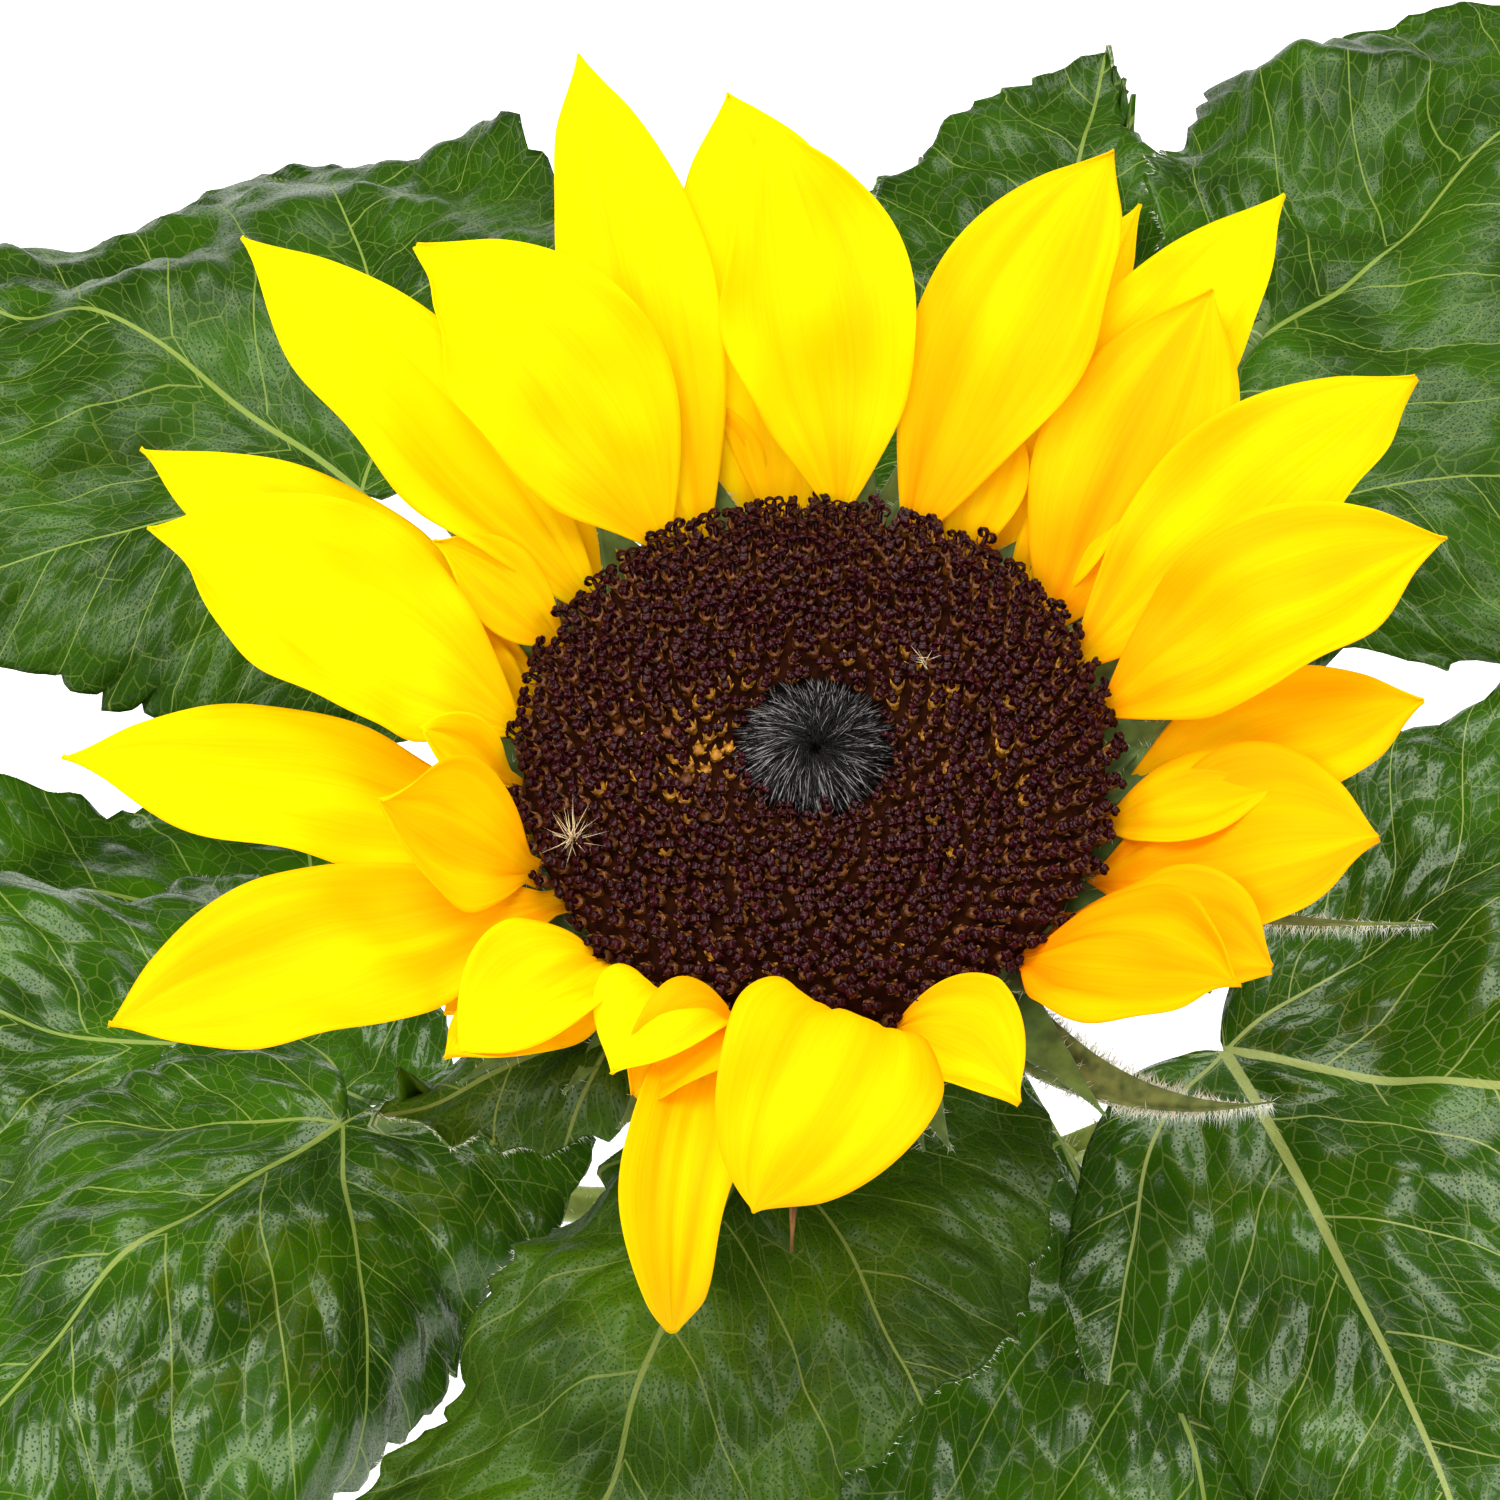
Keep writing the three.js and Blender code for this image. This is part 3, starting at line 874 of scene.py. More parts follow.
class Look(Enum):
    """Every finish of the plant."""

    # velvety cells without wax: flat, saturated yellow that lights up from behind
    PETAL = PetalFinish("ray_petal_skin", "#ffea00", "#ffa200")
    # smooth wax on young leaves: dark green with broad wet highlights
    LEAF_WAXY = LeafFinish("leaf_upper_waxy", "#193a00", "#3b6900", "#8b9f45", 0.22, net=0.42, bump=0.26)
    # the same wax, with a thick pale midrib
    LEAF_STOUT = LeafFinish(
        "leaf_upper_stout_veined", "#1c3e00", "#3a6800", "#a3b05e", 0.22, main_width=1.4, net=0.38, bump=0.26
    )
    # older wax, a little worn: highlights are wider and weaker
    LEAF_DULL = LeafFinish("leaf_upper_dull", "#1b3802", "#376103", "#84983f", 0.3, 0.3, net=0.42, bump=0.28)
    # felt of short hairs: grey-green and nearly matt
    LEAF_UNDER = LeafFinish("leaf_under_downy", "#4f6a30", "#698244", "#9dac74", 0.62, 0.25, bump=0.4)
    # hairs over thin wax: softer highlights and fainter veins
    LEAF_DOWNY = LeafFinish(
        "leaf_upper_downy", "#203a02", "#426602", "#75843a", 0.35, 0.28, net=0.4, bump=0.4
    )
    # skin drawn out along the stem: pale green streaks with a soft sheen
    STEM = GrainFinish("stem_skin_ribbed", "#7c9440", "#a3b35e", 2.2, 0.5, 0.4, 0.25, drawn=0.1)
    # young skin: yellow-green, with a soft shine on its ribs
    STALK = GrainFinish("stalk_skin_ribbed", "#84963c", "#a5ae55", 2.0, 0.5, 0.4, 0.2, drawn=0.5)
    # downy skin: dull mid green
    BRACT = GrainFinish("bract_skin_downy", "#3c5322", "#5f7a36", 2.6, 0.65, 0.3, 0.2, 0.1)
    # the same down on an older bract: dull olive
    BRACT_OLIVE = GrainFinish("bract_skin_olive", "#465626", "#737f42", 1.8, 0.65, 0.2, 0.25, 0.1)
    # dead skin: brown and papery
    BRACT_DRY = GrainFinish("bract_skin_dry", "#5a3d20", "#8c6436", 1.8, 0.7, 0.2)
    # hollow hairs scatter light: white rims against the green
    HAIR = GrainFinish("plant_hair_white", "#dfe3cf", "#f4f4ea", 1.5, 0.45)
    # wet-looking skin full of dark pigment: near black with small red-brown glints
    STYLE = GrainFinish("floret_style_maroon", "#180306", "#31070e", 0.8, 0.24, 0.12, 0.03)
    # thin tube walls seen in the shade: dark amber
    AMBER = GrainFinish("floret_tube_amber", "#431e03", "#7c4507", 0.9, 0.5)
    # the same walls with pollen on them: bright ochre
    OCHRE = GrainFinish("floret_tube_ochre", "#7a4705", "#b98012", 0.9, 0.5)
    # shade between the florets: brown-black without shine
    BED = GrainFinish("floret_bed_brown", "#1e0a03", "#301305", 1.0, 0.95, 0.05)
    # hard dry scales: charcoal with fine bright edges
    CHAFF = GrainFinish("chaff_scale_charcoal", "#030202", "#0f0c0b", 0.8, 0.3, 0.22)
    # the same scales where they catch the light: silver-grey
    CHAFF_PALE = GrainFinish("chaff_scale_grey", "#45413f", "#86807d", 0.8, 0.28, 0.6)
    # dry fibre: pale straw
    FLUFF = GrainFinish("fluff_straw", "#d9bd86", "#f3e3bd", 0.8, 0.5)


Finishes = dict[Look, bpy.types.Material]


@dataclass
class Organ:
    """A part of the plant, which builds its own pieces."""

    finishes: Finishes

    def add(self, name: str, look: Look, slot: Slot, body: Body, stands_for: Sequence[str] = ()) -> None:
        """Put a body of points and faces in the scene, in one finish."""
        add_piece(name, new_mesh(name, *body), [self.finishes[look]], stands_for)


# ------------------------------------------------------------------ rays


@dataclass(frozen=True)
class Ray:
    """One ray petal: where its foot sits on the rim and how its blade runs."""

    number: int
    az: float
    turn: float
    row: float
    length: float
    width: float
    lift: float
    curl: float
    # share of painted shade over the whole petal
    tone: float = 0.0
    sway: float = 0.0
    roll: float = 0.0
    ease: float = 1.4
    belly: float = 0.5
    blunt: float = 2.0
    cup: float | None = None
    foot_width: float = 6.8
    thick: float = 0.34

    @property
    def cup_angle(self) -> float:
        """How far the blade's edges stand up, in degrees from the middle to an edge."""
        by_row = (28.0, 20.0, 12.0, 8.0)
        return by_row[min(3, int(self.row))] if self.cup is None else self.cup

    def half_width(self, t: Array) -> Array:
        """Half width of the blade, with a drawn-out tip.

        Args:
            t: shares of the length.

        Returns:
            Half widths, in millimetres.
        """
        foot = self.foot_width / 2 / self.width
        rise = foot + (1 - foot) * np.sin(np.clip(t / self.belly, 0, 1) * np.pi / 2)
        x = np.clip((t - self.belly) / (1 - self.belly), 0, 1)
        fall = (1 - x**self.blunt) * (1 - 0.22 * smooth(x, 0.7, 1.0))
        return np.maximum(self.width / 2 * rise * fall, 0.1)

    def spine(self) -> Spine:
        """Lay the blade's middle line.

        Returns:
            The line, from the foot under the florets, in the bloom's axes.
        """
        corner = abs(math.sin(rad(self.turn))) + abs(math.sin(rad(self.roll)))
        clear = BLOOM.rim + 0.6 + 0.55 * math.sin(rad(self.lift)) + 1.02 * corner
        az, heading = rad(self.az), self.az + self.turn
        rim = (clear * math.cos(az), clear * math.sin(az), -BLOOM.row_top - BLOOM.row_step * self.row)
        foot = tuple(np.array(rim) - aim(heading, self.lift) * FOOT_TUCK)
        reach = self.length + FOOT_TUCK
        return Spine(foot, reach, heading, self.lift, self.curl, self.ease, self.sway, self.roll)

    def blade(self, rows: int = 66, columns: int = 27) -> Blade:
        """Build the petal as a thin closed blade.

        Args:
            rows: points from foot to tip.
            columns: points from edge to edge.

        Returns:
            The blade, in the plant's axes.
        """
        t = np.linspace(0, 1, rows)
        c = np.linspace(-1, 1, columns)
        spine = self.spine()
        half = self.half_width(np.clip((t * spine.length - FOOT_TUCK) / self.length, 0, 1))[:, None]
        grid = spine.cupped(t, c, half, self.cup_angle)
        grid = grid + normals_of(grid) * self.relief(t[:, None], c[None], half)[..., None]
        flat = np.stack(np.broadcast_arrays(t[:, None], c[None]), -1)
        rng = np.random.default_rng(500 + self.number)
        # the petal's share of painted shade, and a random shift of its noise
        tone = np.broadcast_to([self.tone, float(rng.uniform(0, 40))], flat.shape)
        thick = self.thick / 2 * (1 - 0.6 * np.abs(c[None]) ** 4) * np.ones_like(half)
        return Blade(BLOOM.place(grid), thick, thick, {"ray": (flat, flat), "tone": (tone, tone)})

    def relief(self, t: Array, c: Array, half: Array) -> Array:
        """Lengthwise ribs, three pleats, an uneven surface and a wavy edge.

        Args:
            t: shares of the length, as a column.
            c: places across, from -1 to 1, as a row.
            half: half width at each share, as a column.

        Returns:
            Heights over the smooth blade, in millimetres.
        """
        rng = np.random.default_rng(40 + self.number)
        ribs = 0.05 * np.cos(c * np.pi * 7 + rng.uniform(0, 6)) * smooth(1 - t, 0.0, 0.3)
        rows = zip(rng.uniform(0.15, 0.45, 3), (-0.36, 0.04, 0.4), rng.uniform(-0.08, 0.08, 3))
        pleats = sum(
            -depth * bell(c - at - drift * t, 0.09) * smooth(t, 0.02, 0.2) * (1 - smooth(t, 0.8, 1.0))
            for depth, at, drift in rows
        )
        x, y = t * self.length, c * half
        uneven = 0.32 * ripple(x, y * 1.6, 17.0, 90 + self.number) * smooth(t, 0.05, 0.3)
        wave = np.sin(x * 2 * np.pi / rng.uniform(17, 26) + rng.uniform(0, 6) + c * 0.9)
        edge = 0.75 * wave * np.abs(c) ** 3 * smooth(t, 0.15, 0.4)
        return ribs + pleats + uneven + edge


# az, turn, row, length, width, lift, curl and share of painted shade of each long ray, then what else is its
# own
RAY_ROWS: tuple[tuple[Any, ...], ...] = (
    (113, -6, 1, 57, 18, 39, -23, 0.0, {"sway": -2}),
    (96, -12, 2, 51, 21, 36, -22, 0.05, {"sway": 26, "blunt": 3}),
    (85, 8, 0, 45, 23, 46, -26, 0.05, {"sway": 18}),
    (70, -8, 1, 49, 21, 40, -24, 0.22, {"sway": -8, "belly": 0.55}),
    (64, -4, 3, 49, 12, 21, -10, 0.3, {}),
    (53, -5, 3, 56, 18, 35, -20, 0.1, {"belly": 0.55}),
    (38, 17, 2, 42, 22, 40, -20, 0.45, {"sway": 8, "cup": 6}),
    (26, 8, 1, 49, 21, 39, -24, 0.24, {"sway": -4}),
    (12, 2, 0, 44, 23, 46, -26, 0.34, {"sway": -6}),
    (-4, 9, 3, 38, 19, 40, -22, 0.42, {}),
    (-21, 12, 2, 34, 25, 42, -24, 0.6, {"belly": 0.55}),
    (-35, 2, 1, 29, 18, 45, -26, 0.6, {"belly": 0.55}),
    (-47, 14, 0, 32, 20, 50, -26, 0.6, {}),
    (-75, 54, 0, 19, 17, 42, -46, 0.3, {"blunt": 1.2, "roll": 4, "cup": 60, "sway": -38}),
    (-83, -2, 0, 41, 24, 94, -165, 0.3, {"sway": -50, "ease": 1.2, "cup": 10, "roll": -14, "belly": 0.52}),
    (-106, -6, 1, 45, 13, 76, -158, 0.3, {"sway": 24, "ease": 0.9, "cup": 34}),
    (-114, -10, 0, 21, 15, 96, -140, 0.08, {"cup": 12, "roll": 8}),
    (-133, 0, 0, 25, 16, 68, -84, 0.1, {"ease": 1}),
    (-131, -6, 1.5, 27, 12, 38, -20, 0.3, {}),
    (-157, -8, 0, 27, 17, 56, 0, 0.25, {"roll": -30}),
    (-175, 0, 0, 16, 10, 58, 0, 0.2, {}),
    (-150, 0, 1, 56, 22, 28, -14, 0.26, {"belly": 0.55}),
    (-168, -7, 2, 54, 19, 36, -20, 0.05, {}),
    (172, -6, 0, 48, 26, 44, -26, 0.0, {}),
    (159, -1, 2, 52, 17, 34, -20, 0.06, {}),
    (139, 2, 1, 57, 19, 39, -24, 0.0, {}),
    (121, 8, 0, 44, 26, 46, -26, 0.0, {"sway": 18}),
)
# short rays that fill the gaps between the long ones near the disc
SMALL_RAYS: tuple[tuple[Any, ...], ...] = (
    (46, -4, 2.4, 20, 11, 44, -20, 0.3, {}),
    (60, 4, 1.6, 17, 10, 44, -20, 0.3, {}),
    (104, 4, 2.5, 17, 10, 44, -18, 0.3, {}),
    (130, 2, 2.4, 24, 12, 36, -18, 0.2, {}),
    (150, 4, 0.6, 18, 11, 46, -24, 0.25, {}),
    (164, -4, 1.6, 17, 10, 42, -20, 0.3, {}),
    (-10, 2, 1.4, 20, 12, 46, -24, 0.4, {}),
    (-142, 2, 2.6, 19, 12, 30, -16, 0.3, {}),
    (-103, -22, -0.4, 21, 14, 80, -140, 0.5, {"cup": 40, "sway": -24}),
)
FIRST_SMALL = 61


def rays_of(rows: Sequence[tuple[Any, ...]], first: int) -> list[Ray]:
    """Rays from rows of numbers, numbered from first."""
    return [Ray(first + i, *row[:-1], **row[-1]) for i, row in enumerate(rows)]


@dataclass
class RayCrown(Organ):
    """All ray petals of the bloom."""

    rays: list[Ray] = field(default_factory=lambda: rays_of(RAY_ROWS, 1))
    small: list[Ray] = field(default_factory=lambda: rays_of(SMALL_RAYS, FIRST_SMALL))

    def build(self) -> None:
        """Make one piece for each ray; only the long ones stand for nodes of the frame."""
        look = [self.finishes[Look.PETAL]] * 2
        for ray in self.rays:
            name = f"ray_{ray.number:02d}"
            add_piece(f"{name}_petal", ray.blade().mesh(name), look, [name])
        for ray in self.small:
            name = f"ray_short_{ray.number - FIRST_SMALL + 1}"
            add_piece(name, ray.blade(34, 17).mesh(name), look)


# ------------------------------------------------------------------ disc


@dataclass
class Disc(Organ):
    """The bloom's middle: hundreds of open florets round a patch of closed ones."""

    radius: float = 32.4
    patch: float = 8.6
    spread: float = 1.16         # millimetres; a floret's share of the spiral
    sink: float = 1.3            # the bed lies this far under the frame's disc
    scales: int = 3500
    seed: int = 7

    def bed_height(self, r: Array) -> Array:
        """Height of the bed over the rim plane at distances from the middle."""
        rise = np.interp(r, [0, 4, 8, 12, 20, 28, 31.5, 32.6], [0.9, 1.7, 2.7, 3.5, 3.6, 2.7, 1.2, -1.0])
        return rise - self.sink

    def build(self) -> None:
        """Make the bed, the open florets, the closed middle and the stray fluff."""
        self.bed()
        self.florets()
        self.middle()
        self.tufts()

    def deal(self, name: str, look: Look, shape: Body, origins: Array, axes: Array) -> None:
        """Make one piece of the copies of a small shape."""
        self.add(name, look, Slot.DISC, BLOOM.body(*scatter(*shape, origins, axes)))

    def bed(self) -> None:
        """Lathe the bed that the florets stand on."""
        radii = np.array([0.3, 2, 4, 6, 8, 10, 13, 16, 20, 24, 28, 30.5, 31.8, 32.4, 32.4, 28.0, 0.3])
        heights = self.bed_height(radii)
        heights[-3:] = (-2.4, -3.0, -3.0)
        bed = lathe(radii, heights, rising=False)
        self.add("disc_bed", Look.BED, Slot.DISC, BLOOM.body(*bed), ["bloom_disc"])

    def arm(self, sign: int) -> Body:
        """Build one curled, grooved arm of a floret's style.

        Args:
            sign: 1 for the arm on the right, -1 for the one on the left.

        Returns:
            Points and faces, in millimetres over the bed.
        """
        curl = 0.36
        section = np.array([[-0.33, -0.03], [-0.19, 0.13], [0, 0], [0.19, 0.13], [0.33, -0.03], [0, -0.11]])
        rings = []
        for turn, k in zip(np.linspace(180, -100, 7), (0.5, 0.85, 1.05, 1.1, 1.05, 0.9, 0.5)):
            out = np.array([math.cos(rad(turn)), 0.0, math.sin(rad(turn))])
            middle = np.array([curl, 0.0, 2.05]) + curl * out
            rings.append(middle + k * (section[:, :1] * np.array([0.0, 1.0, 0.0]) + section[:, 1:] * out))
        quads, index, _ = ring_quads(len(rings), len(section))
        faces = [quads[:, ::-sign], index[:1, ::sign], index[-1:, ::-sign]]
        return np.concatenate(rings) * np.array([sign, 1, 1]), faces

    def floret_shapes(self) -> tuple[Body, Body]:
        """Build the two shapes that every floret has.

        Returns:
            The style with its two arms, and the tube with its five pointed lobes.
        """
        column = tube(np.array([[0, 0, -0.6], [0, 0, 1.0], [0, 0, 2.1]]), np.array([0.3, 0.24, 0.2]), 4)
        lobes = []
        for a in round_turn(5):
            out, side = np.array([math.cos(a), math.sin(a), 0]), np.array([-math.sin(a), math.cos(a), 0])
            base = np.array([out * 0.46 + side * 0.32, out * 0.3, out * 0.46 - side * 0.32]) + [0, 0, 0.6]
            points = np.array([*base, out * 0.7 + np.array([0, 0, 1.6])])
            lobes.append((points, [np.array([[0, 1, 2], [0, 3, 1], [1, 3, 2], [2, 3, 0]])]))
        pipe = tube(np.array([[0, 0, -0.8], [0, 0, 0.2], [0, 0, 0.95]]), np.array([0.34, 0.45, 0.5]), 6)
        return join([column, self.arm(1), self.arm(-1)]), join([pipe, *lobes])

    def florets(self) -> None:
        """Deal the open florets along the spirals."""
        rng = np.random.default_rng(self.seed)
        n = np.arange(int((self.patch / self.spread) ** 2), int(((self.radius + 0.7) / self.spread) ** 2))
        count = len(n)
        r = self.spread * np.sqrt(n) + rng.normal(0, 0.13, count)
        a = n * math.pi * GOLDEN + rng.normal(0, 0.13, count) / np.maximum(r, 1)
        out = around(a)
        origin = out * r[:, None] + np.outer(self.bed_height(r), [0, 0, 1])
        lean = 0.1 + 0.55 * smooth(r, 18, 33) - 0.25 * (1 - smooth(r, 9, 14))
        up = unit(out * lean[:, None] + rng.normal(0, 0.14, (count, 3)) + [0, 0, 1])
        first = around(a + rng.normal(np.pi / 2, 0.7, count))
        x = unit(first - up * np.sum(first * up, 1, keepdims=True))
        size = rng.uniform(1.34, 1.62, (count, 1)) * (0.8 + 0.2 * smooth(r, 9, 16))[:, None]
        tall = size * rng.uniform(0.66, 0.9, (count, 1))
        axes = np.stack([x * size, np.cross(up, x) * size, up * tall], 1)
        # the tubes show amber where styles have dropped, and a little on the far side
        glow = bell(np.hypot(origin[:, 0] + 12.0, (origin[:, 1] + 0.8) * 0.9), 6.0)
        dusk = bell(np.hypot(origin[:, 0] - 20.0, origin[:, 1] - 5.0), 9.0)
        worn = rng.random(count) < 0.3 * glow
        bright = rng.random(count) < 0.04 + 0.06 * (1 - smooth(r, 12, 22)) + 0.9 * glow + 0.18 * dusk
        style, pipe = self.floret_shapes()
        for name, look, shape, mask in (
            ("floret_styles", Look.STYLE, style, ~worn),
            ("floret_tubes_amber", Look.AMBER, pipe, ~bright),
            ("floret_tubes_ochre", Look.OCHRE, pipe, bright),
        ):
            self.deal(name, look, shape, origin[mask], axes[mask])

    def middle(self) -> None:
        """Comb dark, hair-thin scales towards the middle of the disc."""
        rng = np.random.default_rng(self.seed + 1)
        count = self.scales
        r = 0.9 + (self.patch - 0.2) * np.sqrt(rng.random(count))
        a = rng.uniform(0, 2 * np.pi, count)
        length = np.minimum(rng.uniform(2.2, 4.2, count), r * 0.95)
        swirl = a + np.pi + rng.normal(0.12, 0.13, count)
        dish = 1.55 * smooth(r, 0.0, 5.0) - 0.9 * smooth(r, 6.4, 9.4)
        high = 1.5 + dish + rng.normal(0, 0.15, count)
        rise = rng.normal(0.05, 0.12, count) - 0.35 * (1 - smooth(r, 2, 5)) + 0.25 * smooth(r, 6.5, 9)
        origin = np.stack([r * np.cos(a), r * np.sin(a), high], 1)
        way = unit(np.stack([np.cos(swirl), np.sin(swirl), rise], 1))
        path = np.array([[0, 0, 0], [0, 0.08, 0.35], [0, 0.1, 0.7], [0, 0.0, 1.0]])
        shape = tube(path, np.array([0.5, 0.62, 0.4, 0.06]), 4)
        side = unit(np.cross(way, [0.0, 0.0, 1.0]))
        wide = rng.uniform(0.07, 0.13, (count, 1))
        axes = np.stack([side * wide, np.cross(side, way) * wide * 0.8, way * length[:, None]], 1)
        pale = rng.random(count) < 0.34 * smooth(r, 4.0, 7.2)
        self.deal("chaff_scales", Look.CHAFF, shape, origin[~pale], axes[~pale])
        self.deal("chaff_scales_pale", Look.CHAFF_PALE, shape, origin[pale], axes[pale])

    def tufts(self) -> None:
        """Stray fluff that has caught on the florets."""
        rng = np.random.default_rng(self.seed + 2)
        parts = []
        for x, y, count, reach in ((-26.6, -12.4, 40, 5.2), (12.4, 9.2, 9, 3.2)):
            way = unit(rng.normal(0, 1, (count, 3)) * [0.7, 1.0, 0.6] + [0, 0.1, 0.75])
            spot = np.array([x, y, self.bed_height(np.hypot(x, y)) + 2.6])
            origin = spot + rng.normal(0, 0.25, (count, 3))
            parts.append(hairs(origin, way, rng.uniform(0.5, 1.0, count) * reach, 0.13))
        self.add("fluff_tufts", Look.FLUFF, Slot.DISC, BLOOM.body(*join(parts)))


# ------------------------------------------------------------------ leaves


@dataclass(frozen=True)
class LeafPlan:
    """One leaf: its joint, how the blade runs and where its stalk leaves the stem."""

    name: str
    at: tuple[float, float, float]
    heading: float
    pitch: float
    droop: float
    length: float
    width: float
    source: float
    roll: float = 0.0
    sway: float = 0.0
    bend: tuple[float, float] = (-30.0, -30.0)
    twist: float = 0.0
    mains: tuple[float, float] = (0.0, 0.0)
    quilt: float = 1.0
    look: Look = Look.LEAF_WAXY
    fine: float = 1.0
    lobes: tuple[float, float] = (0.12, 0.12)
    spread: tuple[float, float] = (1.0, 1.0)
    taper: float = 1.6
    foot: tuple[float, float] = (0.5, 0.5)
    belly: tuple[float, float] = (0.32, 0.32)
    framed: bool = True          # whether blade and stalk stand for nodes of the frame

    def spine(self) -> Spine:
        """Middle line of the blade."""
        way = (self.heading, self.pitch, self.droop)
        return Spine(self.at, self.length, *way, 1.2, self.sway, self.roll, self.twist)


class VeinMap(NamedTuple):
    """Pattern coordinates of the points of a blade, each a grid of pairs."""

    flat: Array                  # millimetres along the midrib and to its left
    vein: Array                  # side vein's number before and beyond the lowest side vein
    net: Array                   # where a point's vein leaves the midrib, and millimetres from it

    @property
    def number(self) -> Array:
        """Place between the side veins, which lie at whole numbers."""
        return np.where(self.net[..., 0] > 0, self.vein[..., 0], self.vein[..., 1])

    @property
    def side_mm(self) -> Array:
        """Millimetres to the nearest side vein."""
        return np.abs((self.number + 0.5) % 1.0 - 0.5) * LATERAL_STEP * LATERAL_SLANT


@dataclass
class Leaf:
    """A quilted, toothed leaf blade with its stalk."""

    plan: LeafPlan
    seed: int
    tooth_step: float = 7.2
    tooth_depth: float = 3.8
    columns: int = 81
    thick: float = 0.22          # millimetres from the middle layer to either side

    def half_width(self, t: Array, half: int) -> Array:
        """Width of one half of the blade, without teeth.

        Args:
            t: shares of the length.
            half: 0 for the left half, 1 for the right.

        Returns:
            Widths, in millimetres.
        """
        foot, belly = self.plan.foot[half], self.plan.belly[half]
        rise = foot + (1 - foot) * np.sin(np.clip(t / belly, 0, 1) * np.pi / 2)
        fall = 1 - np.clip((t - belly) / (1 - belly), 0, 1) ** self.plan.taper
        return np.maximum(self.plan.width / 2 * rise * fall, 0.15) * self.plan.spread[half]

    def teeth(self, t: Array, side: int) -> Array:
        """How far the edge stands out: uneven teeth that point to the tip.

        Args:
            t: shares of the length.
            side: 1 for the left edge, -1 for the right.

        Returns:
            Distances, in millimetres.
        """
        rng = np.random.default_rng(self.seed * 7 + side)
        along = t * self.plan.length * 1.12 / self.tooth_step
        along = along + 0.35 * np.sin(along * 1.7 + rng.uniform(0, 6)) + rng.uniform(0, 1)
        saw = along % 1.0
        height = 0.6 + 0.4 * np.sin(np.floor(along) * 2.4 + side)
        edge = np.where(saw < 0.82, saw / 0.82, (1 - saw) / 0.18)
        calm = smooth(t, 0.02, 0.12) * (1 - smooth(t, 0.93, 1.0))
        return self.tooth_depth * height * (edge**1.2 - 0.4) * calm

    def veins(self, u: Array, v: Array, side: int) -> VeinMap:
        """Pattern coordinates of points of the flat blade.

        Args:
            u: millimetres along the midrib.
            v: millimetres to the left of it.
            side: 1 for the left half of the blade, -1 for the right.

        Returns:
            The coordinates.
        """
        turn = rad(self.plan.mains[0] if side > 0 else self.plan.mains[1])
        along = u * math.cos(turn) + v * math.sin(turn)
        off = v * math.cos(turn) - u * math.sin(turn)
        out = np.abs(off)
        calm = smooth(out, 0.5, 9.0)
        along_w = along + 0.9 * calm * ripple(u, v, 38.0, self.seed + 11)
        out_w = out + 0.6 * calm * ripple(u, v, 30.0, self.seed + 12)
        start = along_w - (0.72 * out_w + 0.0042 * out_w**2)
        upper = np.sign(off) * 0.21
        first = start / LATERAL_STEP + np.where(start > 0, upper * smooth(start, 0, 8), 0)
        reach = along_w * math.cos(rad(BASAL_TURN)) + out_w * math.sin(rad(BASAL_TURN))
        second = (reach + 0.9 * np.minimum(start, 0) * BASAL_SLANT) / BASAL_STEP
        pairs = ((along, off), (first, second), (start, out_w))
        return VeinMap(*(np.stack(pair, -1) for pair in pairs))

    def relief(self, at: VeinMap, u: Array, v: Array, c: Array) -> Array:
        """Quilting between the veins, the sunk midrib and a wavy edge.

        Args:
            at: pattern coordinates of the points.
            u: millimetres along the midrib.
            v: millimetres to the left of it.
            c: places across, from -1 to 1, as a row.

        Returns:
            Heights over the smooth blade, in millimetres.
        """
        start, out = at.net[..., 0], at.net[..., 1]
        edge = cell_edges(at.number * LATERAL_STEP, np.where(start > 0, out, -BASAL_SLANT * start), NET_CELL)
        calm = smooth(np.abs(start), 0.3, 4.0) * (1 - bell(out, 2.8))
        swell = calm * (0.5 * (1 - bell(at.side_mm, 3.6)) + 1.25 * (1 - bell(edge, 2.9)))
        sunk = -0.4 * bell(at.flat[..., 1], 2.2) * smooth(100 - u, 0, 60)
        body = 1.7 * ripple(u, v, 42.0, self.seed + 21) + 0.5 * ripple(u, v, 18.0, self.seed + 22)
        body = body * (1.1 - 0.6 * bell(np.hypot(u, v), 14.0))
        rng = np.random.default_rng(self.seed + 31)
        wave = np.sin(u * 2 * np.pi / rng.uniform(24, 32) + rng.uniform(0, 6) + np.sign(c) * 1.1)
        return self.plan.quilt * (swell + sunk) + body + 2.0 * wave * np.abs(c) ** 3.5

    def blade(self) -> Blade:
        """Build the blade as a thin closed body.

        Returns:
            The blade, in the plant's axes.
        """
        plan = self.plan
        t = np.linspace(0, 1, int(plan.length * 1.18 * plan.fine))[:, None]
        c = np.linspace(-1, 1, int(self.columns * plan.fine) // 2 * 2 + 1)[None]
        point, tangent, side, up = (a[:, None] for a in plan.spine().frames(t[:, 0]))
        size = np.abs(c)
        half = halves(c, (self.half_width(t, 0), self.half_width(t, 1)))
        bend = np.radians(halves(c, plan.bend)) * (2 * half / (plan.width * halves(c, plan.spread)))
        turn = bend * size
        safe = np.where(np.abs(bend) < 1e-6, 1e-6, bend)
        stand = halves(c, (self.teeth(t, 1), self.teeth(t, -1))) * smooth(size, 0.82, 1.0)
        out = half * np.sin(turn) / safe + stand * np.cos(turn)
        rise = half * (1 - np.cos(turn)) / safe + stand * np.sin(turn)
